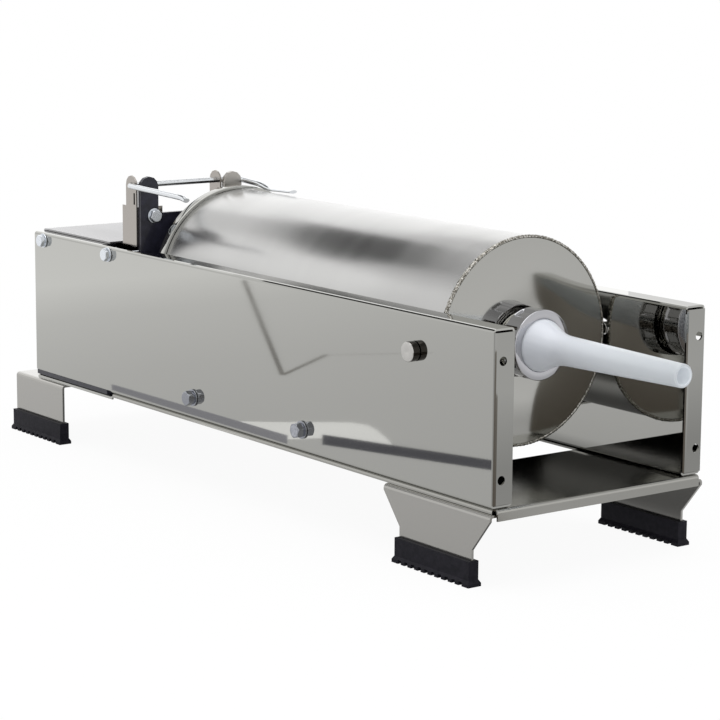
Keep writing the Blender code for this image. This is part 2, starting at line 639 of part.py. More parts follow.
def channel(half_width, top, drop, sheet, bend):
    """Section of a sheet folded down at both sides, drawn on (y, z)."""
    inner = bend - sheet
    right = arc((half_width - bend, top - bend), bend, 90, 0, BEND_STEPS)
    right += [(half_width, top - drop), (half_width - sheet, top - drop)]
    right += arc((half_width - bend, top - bend), inner, 0, 90, BEND_STEPS)
    left = [(-y, z) for y, z in reversed(right)]
    half = len(right) // 2
    outer_left, inner_left = left[half:], left[:half]
    return outer_left + right[:half] + right[half:] + inner_left


def build_base():
    """Tray under the panels, the thick plate under the gearbox and the skirt below that plate."""
    tray = prism(channel(BASE_HALF_WIDTH, TRAY_TOP_Z, BASE_HEM, SHEET, BEND_RADIUS), "X",
                 BAY_FRONT_X + GAP, -2 * SHEET)
    lip_top = TRAY_TOP_Z
    lip_inner = FRONT_LIP_X - BEND_RADIUS
    lip = [(-2 * SHEET - CUT_MARGIN, lip_top)]
    lip += arc((lip_inner, lip_top - BEND_RADIUS), BEND_RADIUS, 90, 0, BEND_STEPS)
    lip += [(FRONT_LIP_X, lip_top - FRONT_LIP_DROP), (FRONT_LIP_X - SHEET, lip_top - FRONT_LIP_DROP)]
    lip += arc((lip_inner, lip_top - BEND_RADIUS), BEND_RADIUS - SHEET, 0, 90, BEND_STEPS)
    lip += [(-2 * SHEET - CUT_MARGIN, lip_top - SHEET)]
    front_lip = prism(lip, "Y", FRONT_LIP_INSET - HALF_WIDTH, HALF_WIDTH - FRONT_LIP_INSET)
    window = block((LIP_REAR_X, -INNER_FACE_Y, -CUT_MARGIN), (-BASE_FLOOR_LENGTH, INNER_FACE_Y, CUT_MARGIN))
    piece("base_tray", tray, MIRROR_STEEL, joins=[front_lip], cuts=[window])

    plate = block((REAR_X, BASE_PLATE_INSET - HALF_WIDTH, BASE_PLATE_LOW_Z),
                  (REAR_X + CHEEK_FOOT_LENGTH + PLATE, HALF_WIDTH - BASE_PLATE_INSET, BASE_PLATE_TOP_Z))
    piece("gearbox_base_plate", plate, BLACK_STEEL)
    skirt = prism(channel(BASE_HALF_WIDTH, SKIRT_TOP_Z, SKIRT_HEM, SHEET, BEND_RADIUS), "X",
                  REAR_X, BAY_FRONT_X - GAP)
    piece("rear_base_skirt", skirt, MIRROR_STEEL)


def build_legs():
    """Two folded brackets that stand outside the base, each with a pair of legs."""
    drop = FRONT_LEG_Z - LEG_END_Z
    section = channel(LEG_HALF_WIDTH, FRONT_LEG_Z, drop, LEG_SHEET, LEG_BEND)
    front = prism(section, "X", *FRONT_LEG_TOP)
    below = LEG_END_Z - CUT_MARGIN
    reach = LEG_HALF_WIDTH + CUT_MARGIN
    cuts = []
    for end, foot, way in zip(FRONT_LEG_TOP, FRONT_LEG_FOOT, (-1, 1)):
        outside = end + way * CUT_MARGIN
        outline = [(outside, FRONT_LEG_SHOULDER_Z), (end, FRONT_LEG_SHOULDER_Z),
                   (foot, FRONT_LEG_KNEE_Z), (foot, below), (outside, below)]
        cuts.append(prism(outline, "Y", -reach, reach))
    piece("front_leg_bracket", front, MIRROR_STEEL, cuts=cuts)

    drop = REAR_LEG_Z - LEG_END_Z
    section = channel(LEG_HALF_WIDTH, REAR_LEG_Z, drop, LEG_SHEET, LEG_BEND)
    piece("rear_leg_bracket", prism(section, "X", *REAR_LEG_X), MIRROR_STEEL)


def build_shoe(name, middle_x, side):
    """Ribbed rubber shoe, slotted for the leg's edge and flared at its tread."""
    floor = -FLOOR_DROP
    top = floor + SHOE_HEIGHT
    middle_y = side * LEG_MIDDLE_Y
    half = SHOE_HALF_WIDTH
    wide = half + SHOE_FLARE
    flare_top = floor + SHOE_FLARE_HEIGHT
    sizes = ((floor, wide, SHOE_FLARE), (floor + SHOE_FLARE_HEIGHT / 2, wide, SHOE_FLARE),
             (flare_top, half, 0.0), (top, half, 0.0))
    shape = bmesh.new()
    rings = []
    for z, half_y, grow in sizes:
        half_x = SHOE_LENGTH / 2 + grow
        corners = [(-half_x, -half_y), (half_x, -half_y), (half_x, half_y), (-half_x, half_y)]
        rings.append([shape.verts.new((middle_x + x, middle_y + y, z)) for x, y in corners])
    join_rings(shape, rings)
    slot_half = LEG_SHEET / 2 + GAP
    slot_x = SHOE_LENGTH / 2 - SHEET / 2
    slot = block((middle_x - slot_x, middle_y - slot_half, LEG_END_Z - GAP),
                 (middle_x + slot_x, middle_y + slot_half, top + CUT_MARGIN))
    pitch = SHOE_LENGTH / (SHOE_GROOVES + 1)
    grooves = []
    for i in range(SHOE_GROOVES):
        x = middle_x + (i - (SHOE_GROOVES - 1) / 2) * pitch
        grooves.append(block((x - SHOE_GROOVE_WIDTH / 2, middle_y - 2 * wide, floor - CUT_MARGIN),
                             (x + SHOE_GROOVE_WIDTH / 2, middle_y + 2 * wide, floor + SHOE_GROOVE_DEPTH)))
    piece(name, shape, RUBBER, cuts=[slot, merged(grooves)])


def build_gearbox_plates():
    """Front plate with its two ears, the cheeks that carry the shafts, and the corner angles."""
    near_ear = -FRONT_PLATE_HALF_WIDTH
    far_ear = near_ear + EAR_PITCH
    ear_radius = EAR_WIDTH / 2
    low = BASE_PLATE_TOP_Z + GAP
    outline = [(-FRONT_PLATE_HALF_WIDTH, low), (FRONT_PLATE_FAR_Y, low),
               (FRONT_PLATE_FAR_Y, FRONT_PLATE_FAR_Z), (far_ear + EAR_WIDTH, FRONT_PLATE_TOP_Z)]
    outline += arc((far_ear + ear_radius, EAR_TOP_Z - ear_radius), ear_radius, 0, 180, 2 * BEND_STEPS)
    outline += [(far_ear, FRONT_PLATE_TOP_Z), (near_ear + EAR_WIDTH, FRONT_PLATE_TOP_Z)]
    outline += arc((near_ear + ear_radius, EAR_TOP_Z - ear_radius), ear_radius, 0, 180, 2 * BEND_STEPS)
    plate = prism(outline, "X", PLATE_BACK_X, FRONT_PLATE_X)
    margin = RACK_WINDOW_MARGIN
    through = (PLATE_BACK_X - CUT_MARGIN, FRONT_PLATE_X + CUT_MARGIN)
    window = block((through[0], -RACK_WIDTH / 2 - margin, RACK_TIP_Z - margin),
                   (through[1], RACK_WIDTH / 2 + margin, RACK_TOP_Z + margin))
    holes = [round_bar("X", (LATCH_BOLT_Y, LATCH_BOLT_Z), BOLT_RADIUS + GAP, *through, BOLT_FACETS)]
    far_bolt = (LATCH_BOLT_Y + EAR_PITCH, LATCH_BOLT_Z)
    wide = BOLT_RADIUS + GAP
    sink = FRONT_PLATE_X - SUNK_HEAD_DEPTH - GAP
    mouth = SUNK_HEAD_RADIUS + GAP
    sunk = ((through[0], wide), (sink, wide), (FRONT_PLATE_X, mouth), (through[1], mouth))
    holes.append(turned("X", far_bolt, sunk, BOLT_FACETS))
    piece("gearbox_front_plate", plate, BLACK_STEEL, cuts=[window, merged(holes)])

    for name, side in (("gearbox_cheek_near", -1), ("gearbox_cheek_far", 1)):
        inner, outer = side * CHEEK_Y, side * (CHEEK_Y + PLATE)
        foot = side * (CHEEK_Y + PLATE + CHEEK_FOOT)
        section = [(inner, low), (foot, low), (foot, low + PLATE), (outer, low + PLATE),
                   (outer, PANEL_HEIGHT - CHEEK_DROP), (inner, PANEL_HEIGHT - CHEEK_DROP)]
        cheek = prism(section, "X", REAR_X + CHEEK_INSET, PLATE_BACK_X - GAP)
        span = sorted((side * (CHEEK_Y - CUT_MARGIN), side * (CHEEK_Y + PLATE + CUT_MARGIN)))
        foot_span = sorted((outer, foot + side * CUT_MARGIN))
        toe = block((REAR_X + CHEEK_FOOT_LENGTH, foot_span[0], low - CUT_MARGIN),
                    (PLATE_BACK_X + CUT_MARGIN, foot_span[1], low + PLATE + CUT_MARGIN))
        holes = []
        for x, radius in ((PINION_SHAFT_X, PINION_SHAFT_RADIUS), (CRANK_SHAFT_X, CRANK_SHAFT_RADIUS)):
            holes.append(round_bar("Y", (x, SHAFT_Z), radius + GAP, *span, MEDIUM))
        for spacer, point in SPACERS:
            holes.append(round_bar("Y", point, BOLT_RADIUS + GAP, *span))
        piece(name, cheek, BLACK_STEEL, cuts=[toe, merged(holes)])

    for name, side in (("side_angle_near", -1), ("side_angle_far", 1)):
        outer = abs(GEARBOX_EDGES_Y[side > 0])
        rear = PLATE_BACK_X - GAP - ANGLE_LENGTH
        face = PLATE_BACK_X - GAP
        outline = [(rear, outer), (face, outer), (face, outer - ANGLE_REACH),
                   (face - ANGLE_SHEET, outer - ANGLE_REACH), (face - ANGLE_SHEET, outer - ANGLE_SHEET),
                   (rear, outer - ANGLE_SHEET)]
        outline = [(x, side * y) for x, y in outline]
        holes = [round_bar("Y", (ANGLE_BOLT_X, HIGH_BOLTS_Z[side > 0]), BOLT_RADIUS + GAP,
                           *sorted((side * (outer + CUT_MARGIN), side * (outer - 2 * CUT_MARGIN))))]
        piece(name, prism(outline, "Z", ANGLE_LOW_Z, PANEL_HEIGHT - ANGLE_DROP), ZINC, cuts=holes)

    for name, point in SPACERS:
        piece(name, turned("Y", point, (
            (-CHEEK_Y - PLATE - BOLT_HEAD, BOLT_RADIUS), (-CHEEK_Y + GAP, BOLT_RADIUS),
            (-CHEEK_Y + GAP, SPACER_RADIUS), (CHEEK_Y - GAP, SPACER_RADIUS),
            (CHEEK_Y - GAP, BOLT_RADIUS), (CHEEK_Y + PLATE + BOLT_HEAD, BOLT_RADIUS)), SMALL), ZINC)

    for name, front in (("rack_guide_front", PLATE_BACK_X - GAP),
                        ("rack_guide_rear", REAR_X + REAR_GUIDE_INSET + GUIDE_THICKNESS)):
        guide = block((front - GUIDE_THICKNESS, -CHEEK_Y + GAP, RACK_TIP_Z - GUIDE_MARGIN),
                      (front, CHEEK_Y - GAP, RACK_TOP_Z + GUIDE_MARGIN))
        window = block((front - GUIDE_THICKNESS - CUT_MARGIN, -RACK_WIDTH / 2 - GAP, RACK_TIP_Z - GAP),
                       (front + CUT_MARGIN, RACK_WIDTH / 2 + GAP, RACK_TOP_Z + GAP))
        piece(name, guide, WHITE_PLASTIC, cuts=[window])


def build_bushes():
    """Flanged sleeves that carry the shafts' outer ends in the far side panel."""
    low = INNER_FACE_Y - BUSH_STICKOUT
    face = FAR_WEB_Y + GAP
    high = face + BUSH_FLANGE_LENGTH
    for name, x, radius in (("pinion_shaft_bush", PINION_SHAFT_X, PINION_SHAFT_RADIUS),
                            ("crank_shaft_bush", CRANK_SHAFT_X, CRANK_SHAFT_RADIUS)):
        inner = radius + GAP
        outer = inner + BUSH_WALL
        rim = outer + BUSH_FLANGE
        profile = ((low, inner), (low, outer), (face, outer), (face, rim), (high, rim), (high, inner))
        piece(name, turned("Y", (x, SHAFT_Z), profile, MEDIUM, hollow=True), BRONZE)


def build_cover():
    """Folded cover: a lid on the panels' flanges, a rear skirt, and two tabs inside the panels."""
    lid_low = PANEL_HEIGHT + GAP
    lid_top = lid_low + SHEET
    rear = REAR_X - GAP - SHEET
    bend = arc((rear + BEND_RADIUS, lid_top - BEND_RADIUS), BEND_RADIUS, 90, 180, BEND_STEPS)
    inner = arc((rear + BEND_RADIUS, lid_top - BEND_RADIUS), BEND_RADIUS - SHEET, 180, 90, BEND_STEPS)
    outline = [(COVER_FRONT_X, lid_low), (COVER_FRONT_X, lid_top)] + bend
    outline += [(rear, COVER_SKIRT_LOW_Z), (rear + SHEET, COVER_SKIRT_LOW_Z)] + inner
    lid_edges = (GEARBOX_EDGES_Y[0] + COVER_INSET, GEARBOX_EDGES_Y[1] - COVER_INSET)
    lid = prism(outline, "Y", *lid_edges)
    tab_low = PANEL_HEIGHT - COVER_TAB_HEIGHT
    joins = []
    cuts = []
    for side, edge, lid_edge in zip((-1, 1), GEARBOX_EDGES_Y, lid_edges):
        inside = edge - side * SHEET
        overlap = lid_edge - side * CUT_MARGIN
        corner = [(rear, edge), (rear + COVER_TAB_LENGTH, edge), (rear + COVER_TAB_LENGTH, inside),
                  (rear + SHEET, inside), (rear + SHEET, overlap), (rear, overlap)]
        joins.append(prism(corner, "Z", tab_low, PANEL_HEIGHT - BEND_RADIUS))
        low_y, high_y = sorted((edge, overlap))
        joins.append(block((rear, low_y, COVER_SKIRT_LOW_Z), (rear + SHEET, high_y, tab_low + SHEET)))
        span = sorted((edge + side * CUT_MARGIN, inside - side * CUT_MARGIN))
        cuts.append(round_bar("Y", (COVER_BOLT_X, HIGH_BOLTS_Z[side > 0]), BOLT_RADIUS + GAP, *span))
    margin = RACK_WINDOW_MARGIN
    cuts.append(block((rear - CUT_MARGIN, -RACK_WIDTH / 2 - margin, RACK_TIP_Z - margin),
                      (rear + CUT_MARGIN, RACK_WIDTH / 2 + margin, RACK_TOP_Z + margin)))
    piece("rear_cover", lid, SATIN_STEEL, joins=joins, cuts=cuts)


def build_latch():
    """Two stainless angles behind the front plate's ears and the wire bail that turns in them."""
    for name, offset in (("latch_bracket_near", 0.0), ("latch_bracket_far", EAR_PITCH)):
        edge = -FRONT_PLATE_HALF_WIDTH + offset
        outer, inner = edge - GAP - SHEET, edge - GAP
        front = PLATE_BACK_X - GAP
        radius = LATCH_STRIP_WIDTH / 2
        low = PANEL_HEIGHT + LATCH_STRIP_CLEARANCE
        step = LATCH_Z - LATCH_STRIP_STEP_DROP
        strip = [(front - LATCH_STRIP_FOOT, low), (front, low)]
        strip += arc((front - radius, LATCH_Z + LATCH_STRIP_RISE - radius), radius, 0, 180, 2 * BEND_STEPS)
        strip += [(front - LATCH_STRIP_WIDTH, step), (front - LATCH_STRIP_FOOT, step)]
        leg = block((front - SHEET, outer, low),
                    (front, outer + LATCH_LEG_WIDTH, FRONT_PLATE_TOP_Z + LATCH_LEG_RISE))
        span = (outer - CUT_MARGIN, inner + CUT_MARGIN)
        holes = [round_bar("Y", (LATCH_X, LATCH_Z), BAIL_RADIUS + GAP, *span)]
        slot_x = LATCH_X + LATCH_SLOT_OFFSET
        slot_low, slot_high = (LATCH_Z - drop for drop in LATCH_SLOT_DROPS)
        holes.append(block((slot_x - LATCH_SLOT_WIDTH / 2, span[0], slot_low),
                           (slot_x + LATCH_SLOT_WIDTH / 2, span[1], slot_high)))
        holes.append(round_bar("X", (LATCH_BOLT_Y + offset, LATCH_BOLT_Z), BOLT_RADIUS + GAP,
                               front - CUT_MARGIN, front + CUT_MARGIN))
        piece(name, prism(strip, "Y", outer, inner), MIRROR_STEEL, joins=[leg], cuts=holes)

    ends = [(BAIL_NEAR_Y, BAIL_NEAR_END), (BAIL_NEAR_Y, BAIL_NEAR_HOOK), (BAIL_NEAR_Y, (0.0, 0.0)),
            (BAIL_FAR_Y, (0.0, 0.0)), (BAIL_FAR_Y, BAIL_RIM_POINT), (BAIL_FAR_Y, BAIL_FOOT_START),
            (BAIL_FAR_Y, BAIL_FAR_END)]
    corners = [(LATCH_X + reach, y, LATCH_Z - drop) for y, (reach, drop) in ends]
    path = rounded_path([Vector(c) for c in corners], BAIL_BEND, BEND_STEPS)
    shape = swept_bar(path, BAIL_RADIUS, SMALL // 2, LATCH_X + BAIL_FOOT_START[0], BAIL_TIP_SHARES)
    piece("latch_bail", shape, CHROME, pivot=(LATCH_X, 0.0, LATCH_Z))


def rounded_path(corners, radius, steps):
    """Replace each inner corner by a short curve that starts and ends up to `radius` from it."""
    path = [corners[0]]
    for before, corner, after in zip(corners, corners[1:], corners[2:]):
        reach_in = min(radius, (before - corner).length / 2)
        reach_out = min(radius, (after - corner).length / 2)
        start = corner + (before - corner).normalized() * reach_in
        end = corner + (after - corner).normalized() * reach_out
        for i in range(steps + 1):
            t = i / steps
            path.append(start * (1 - t) ** 2 + corner * 2 * t * (1 - t) + end * t ** 2)
    path.append(corners[-1])
    return path


def swept_bar(path, radius, count, foot_x, tip_shares):
    """Round bar along a path. Past `foot_x` on its last run the bar is beaten wide and flat."""
    shape = bmesh.new()
    rings = []
    last_run = len(path) - 1
    while path[last_run - 1].x >= foot_x:
        last_run -= 1
    for i, point in enumerate(path):
        ahead = path[min(i + 1, len(path) - 1)]
        behind = path[max(i - 1, 0)]
        tangent = (ahead - behind).normalized()
        across = Vector((0.0, 0.0, 1.0)).cross(tangent).normalized()
        up = tangent.cross(across).normalized()
        wide, flat = tip_shares if i >= last_run else (1.0, 1.0)
        ring = []
        for j in range(count):
            angle = 2 * math.pi * j / count
            offset = across * math.cos(angle) * radius * wide + up * math.sin(angle) * radius * flat
            ring.append(shape.verts.new(point + offset))
        rings.append(ring)
    join_rings(shape, rings)
    return shape


def build_cylinder():
    """Tube, polished front disc, the weld bead between them, rear rim band, trunnions and neck."""
    centre = (0.0, AXIS_Z)
    tube = turned("X", centre, ((RIM_X, TUBE_RADIUS), (TUBE_FRONT_X, TUBE_RADIUS),
                                (TUBE_FRONT_X, TUBE_INNER), (RIM_X, TUBE_INNER)), FINE, hollow=True)
    piece("cylinder_tube", tube, SATIN_STEEL)
    disc = turned("X", centre, ((DISC_BACK_X, TUBE_RADIUS), (DISC_FRONT_X, TUBE_RADIUS),
                                (DISC_FRONT_X, OUTLET_RADIUS), (DISC_BACK_X, OUTLET_RADIUS)),
                  FINE, hollow=True)
    piece("cylinder_front_disc", disc, MIRROR_STEEL)

    middle = (TUBE_FRONT_X + DISC_FRONT_X) / 2
    bead_rear, bead_front = middle - BEAD_WIDTH / 2, middle + BEAD_WIDTH / 2
    inner = TUBE_RADIUS + GAP
    bead = turned("X", centre, ((bead_rear, inner), (bead_rear + BEAD_SHOULDER, BEAD_RADIUS),
                                (bead_front - BEAD_SHOULDER, BEAD_RADIUS), (bead_front, inner)),
                  FINE, hollow=True)
    piece("disc_weld_bead", bead, WELD_STEEL)

    crown = RIM_WIDTH / 4
    rim_inner = TUBE_RADIUS + GAP
    rim_front = RIM_X + RIM_WIDTH
    band = turned("X", centre, ((RIM_X, rim_inner), (RIM_X, RIM_RADIUS - crown / 2),
                                (RIM_X + crown / 2, RIM_RADIUS), (rim_front, RIM_RADIUS - crown / 2),
                                (rim_front, rim_inner)), FINE, hollow=True)
    piece("cylinder_rim_band", band, CHROME)

    for name, side in (("trunnion_pin_near", -1), ("trunnion_pin_far", 1)):
        low, high = sorted((side * (TUBE_RADIUS - CUT_MARGIN), side * (HALF_WIDTH + TRUNNION_STICKOUT)))
        pin = round_bar("Y", (TRUNNION_X, TRUNNION_Z), TRUNNION_RADIUS, low, high)
        clear_tube = round_bar("X", centre, TUBE_RADIUS + GAP, RIM_X, 0.0, FINE)
        clear_bead = round_bar("X", centre, BEAD_RADIUS + GAP, bead_rear - GAP, 0.0, FINE)
        piece(name, pin, SATIN_STEEL, cuts=[clear_tube, clear_bead])

    neck_start = DISC_FRONT_X + GAP
    profile = [(neck_start, OUTLET_RADIUS), (neck_start, NECK_RADIUS)]
    ridge = NECK_RADIUS - NECK_THREAD_DEPTH
    threads = int((NECK_END_X - neck_start) / NECK_THREAD_PITCH) - 1
    for i in range(threads):
        start = neck_start + (i + 1) * NECK_THREAD_PITCH
        profile += [(start, NECK_RADIUS), (start + NECK_THREAD_PITCH / 2, ridge)]
    profile += [(NECK_END_X, ridge), (NECK_END_X, OUTLET_RADIUS)]
    piece("spout_neck", turned("X", centre, profile, MEDIUM, hollow=True), SATIN_STEEL)


def fluted_circle(radius, depth, lugs, count):
    """Outline with `lugs` raised grips and shallow flutes between them."""
    points = []
    for i in range(count):
        angle = 2 * math.pi * i / count
        wave = math.cos(lugs * angle)
        points.append((angle, radius - depth * max(0.0, -wave) ** 0.5))
    return [(r * math.cos(a), AXIS_Z + r * math.sin(a)) for a, r in points]


def build_spout():
    """Ring nut, washer and the plastic nozzle it holds on the neck."""
    centre = (0.0, AXIS_Z)
    pivot = (NUT_FACE_X, 0.0, AXIS_Z)
    shape = bmesh.new()
    rings = []
    for x, radius, depth in ((NUT_BACK_X, NUT_RADIUS - NUT_EDGE, 0.0),
                             (NUT_BACK_X + NUT_EDGE, NUT_RADIUS, NUT_FLUTE_DEPTH),
                             (NUT_FACE_X - NUT_LIP, NUT_RADIUS, NUT_FLUTE_DEPTH),
                             (NUT_FACE_X - NUT_EDGE, NUT_RADIUS, 0.0),
                             (NUT_FACE_X, NUT_RADIUS - NUT_EDGE, 0.0)):
        ring = fluted_circle(radius, depth, NUT_LUGS, FINE)
        rings.append([shape.verts.new((x, y, z)) for y, z in ring])
    join_rings(shape, rings)
    bore = turned("X", centre, ((NUT_BACK_X - CUT_MARGIN, NUT_BORE_RADIUS),
                                (FLANGE_FRONT_X + GAP, NUT_BORE_RADIUS),
                                (FLANGE_FRONT_X + GAP, NUT_MOUTH_RADIUS),
                                (NUT_FACE_X + CUT_MARGIN, NUT_MOUTH_RADIUS)), MEDIUM)
    piece("ring_nut", shape, CHROME, cuts=[bore], pivot=pivot)

    washer = turned("X", centre, ((NECK_END_X + GAP, OUTLET_RADIUS), (NECK_END_X + GAP, NECK_RADIUS - GAP),
                                  (WASHER_FRONT_X, NECK_RADIUS - GAP), (WASHER_FRONT_X, OUTLET_RADIUS)),
                    MEDIUM, hollow=True)
    piece("spout_washer", washer, SEAL_RUBBER, pivot=pivot)

    profile = ((FLANGE_BACK_X, OUTLET_RADIUS), (FLANGE_BACK_X, NOZZLE_FLANGE_RADIUS),
               (FLANGE_FRONT_X, NOZZLE_FLANGE_RADIUS), (FLANGE_FRONT_X, NOZZLE_BASE_RADIUS),
               (NUT_FACE_X + NUT_EDGE, NOZZLE_BASE_RADIUS), (NOZZLE_CONE_END_X, NOZZLE_NECK_RADIUS),
               (NOZZLE_TIP_X - NOZZLE_EDGE, NOZZLE_TIP_RADIUS),
               (NOZZLE_TIP_X, NOZZLE_TIP_RADIUS - NOZZLE_EDGE),
               (NOZZLE_TIP_X, NOZZLE_TIP_RADIUS - NOZZLE_WALL),
               (NOZZLE_CONE_END_X, NOZZLE_NECK_RADIUS - NOZZLE_WALL))
    nozzle = turned("X", centre, profile, MEDIUM, hollow=True)
    piece("stuffing_nozzle", nozzle, WHITE_PLASTIC, pivot=pivot)


def build_piston():
    """Piston at the front of its stroke: two plates, seal, bolt, air valve and toothed rack."""
    centre = (0.0, AXIS_Z)
    pivot = (PISTON_FRONT_X, 0.0, AXIS_Z)
    stud = PISTON_BOLT_RADIUS + GAP
    valve = (0.0, AXIS_Z + TUBE_RADIUS - VALVE_INSET)

    def plate(name, back, front, radius, finish):
        holes = [round_bar("X", centre, stud, back - CUT_MARGIN, front + CUT_MARGIN),
                 round_bar("X", valve, VALVE_RADIUS + GAP, back - CUT_MARGIN, front + CUT_MARGIN)]
        piece(name, round_bar("X", centre, radius, back, front, FINE), finish, cuts=holes, pivot=pivot)

    plate("piston_front_plate", PISTON_FRONT_X - PISTON_PLATE, PISTON_FRONT_X,
          TUBE_INNER - PISTON_PLATE_MARGIN, SATIN_STEEL)
    plate("piston_seal", SEAL_FRONT_X - PISTON_SEAL, SEAL_FRONT_X, TUBE_INNER - GAP, SEAL_RUBBER)
    plate("piston_back_plate", BACK_PLATE_X - PISTON_PLATE, BACK_PLATE_X,
          TUBE_INNER - PISTON_BACK_MARGIN, SATIN_STEEL)

    head = PISTON_FRONT_X + GAP
    dome = head + PISTON_NUT_LENGTH
    piece("piston_bolt", turned("X", centre, (
        (RACK_FRONT_X - PISTON_BOLT_DEPTH, PISTON_BOLT_RADIUS), (head, PISTON_BOLT_RADIUS),
        (head, PISTON_NUT_RADIUS), (dome - BOLT_DOME, PISTON_NUT_RADIUS),
        (dome, PISTON_NUT_RADIUS / 2)), SMALL), CHROME, pivot=pivot)
    piece("air_valve", turned("X", valve, (
        (BACK_PLATE_X - PISTON_PLATE + GAP, VALVE_RADIUS), (head, VALVE_RADIUS),
        (head, VALVE_HEAD_RADIUS), (head + VALVE_HEAD, VALVE_HEAD_RADIUS)), SMALL),
        CHROME, pivot=pivot)

    pitch = math.pi * RACK_MODULE
    half_tooth = pitch / 4 - BACKLASH / 4
    slope = math.tan(PRESSURE_ANGLE)
    tip_half = half_tooth - (RACK_PITCH_Z - RACK_TIP_Z) * slope
    root_half = half_tooth + (RACK_ROOT_Z - RACK_PITCH_Z) * slope
    outline = [(RACK_REAR_X, RACK_TOP_Z), (RACK_REAR_X, RACK_ROOT_Z)]
    first = math.ceil((RACK_REAR_X + root_half - PINION_SHAFT_X) / pitch - 1 / 2)
    last = math.floor((RACK_FRONT_X - root_half - PINION_SHAFT_X) / pitch - 1 / 2)
    for number in range(first, last + 1):
        x = PINION_SHAFT_X + (number + 1 / 2) * pitch
        outline += [(x - root_half, RACK_ROOT_Z), (x - tip_half, RACK_TIP_Z),
                    (x + tip_half, RACK_TIP_Z), (x + root_half, RACK_ROOT_Z)]
    outline += [(RACK_FRONT_X, RACK_ROOT_Z), (RACK_FRONT_X, RACK_TOP_Z)]
    rack = prism(outline, "Y", -RACK_WIDTH / 2, RACK_WIDTH / 2)
    socket = round_bar("X", centre, stud, RACK_FRONT_X - PISTON_BOLT_DEPTH - GAP, RACK_FRONT_X + CUT_MARGIN)
    piece("piston_rack", rack, GEAR_STEEL, cuts=[socket], pivot=pivot)


def gear_outline(centre, teeth, module, turn):
    """Involute teeth around a centre on (x, z); `turn` is the angle of one tooth's middle."""
    pitch_radius = module * teeth / 2
    base = pitch_radius * math.cos(PRESSURE_ANGLE)
    tip = pitch_radius + ADDENDUM_SHARE * module
    root = pitch_radius - DEDENDUM_SHARE * module
    half_angle = math.pi / (2 * teeth) - BACKLASH / (4 * pitch_radius)
    pitch_roll = math.tan(PRESSURE_ANGLE) - PRESSURE_ANGLE

    def flank_angle(radius):
        """Half the angle that a tooth fills at this radius."""
        if radius <= base:
            return half_angle + pitch_roll
        roll = math.acos(base / radius)
        return half_angle + pitch_roll - (math.tan(roll) - roll)

    start = max(base, root)
    radii = [start + (tip - start) * i / FLANK_STEPS for i in range(FLANK_STEPS + 1)]
    if root < base:
        radii.insert(0, root)
    points = []
    for tooth in range(teeth):
        middle = turn + 2 * math.pi * tooth / teeth
        for radius in radii:
            points.append((radius, middle - flank_angle(radius)))
        for radius in reversed(radii):
            points.append((radius, middle + flank_angle(radius)))
    return [(centre[0] + r * math.cos(a), centre[1] + r * math.sin(a)) for r, a in points]


def build_gear_train():
    """Shaft with the pinion under the rack, its reduction gear, and the crank shaft with its pinion."""
    pinion_centre = (PINION_SHAFT_X, SHAFT_Z)
    crank_centre = (CRANK_SHAFT_X, SHAFT_Z)
    pinion_pivot = (PINION_SHAFT_X, 0.0, SHAFT_Z)
    crank_pivot = (CRANK_SHAFT_X, 0.0, SHAFT_Z)

    def shaft(centre, radius, low, high):
        small = radius - SHAFT_CHAMFER
        return turned("Y", centre, ((low, small), (low + SHAFT_CHAMFER, radius),
                                    (high - SHAFT_CHAMFER, radius), (high, small)), MEDIUM)

    teeth = gear_outline(pinion_centre, GEAR_TEETH, GEAR_MODULE, math.pi)
    rim = GEAR_MODULE * GEAR_TEETH / 2 * GEAR_RIM_SHARE
    low, high = GEAR_Y
    before, after = low - CUT_MARGIN, high + CUT_MARGIN
    cuts = [round_bar("Y", pinion_centre, PINION_SHAFT_RADIUS + GAP, before, after, MEDIUM)]
    for start, end in ((before, low + GEAR_WEB_DEPTH), (high - GEAR_WEB_DEPTH, after)):
        cuts.append(turned("Y", pinion_centre, ((start, GEAR_HUB_RADIUS), (start, rim), (end, rim),
                                                (end, GEAR_HUB_RADIUS)), MEDIUM, hollow=True))
    piece("reduction_gear", prism(teeth, "Y", low, high), GEAR_STEEL, cuts=cuts, pivot=pinion_pivot)

    width = RACK_PINION_HALF_WIDTH
    teeth = gear_outline(pinion_centre, RACK_PINION_TEETH, RACK_MODULE, math.pi / 2)
    piece("pinion_shaft", shaft(pinion_centre, PINION_SHAFT_RADIUS, *PINION_SHAFT_Y), GEAR_STEEL,
          joins=[prism(teeth, "Y", -width, width)], pivot=pinion_pivot)
    teeth = gear_outline(crank_centre, DRIVE_PINION_TEETH, GEAR_MODULE, math.pi / DRIVE_PINION_TEETH)
    low, high = CRANK_SHAFT_Y
    thread = round_bar("Y", crank_centre, BOLT_RADIUS + GAP, high - SHAFT_THREAD_DEPTH, high + CUT_MARGIN)
    drive = prism(teeth, "Y", GEAR_Y[0] - DRIVE_PINION_MARGIN, GEAR_Y[1] + DRIVE_PINION_MARGIN)
    piece("crank_shaft", shaft(crank_centre, CRANK_SHAFT_RADIUS, low, high), GEAR_STEEL,
          joins=[drive], cuts=[thread], pivot=crank_pivot)


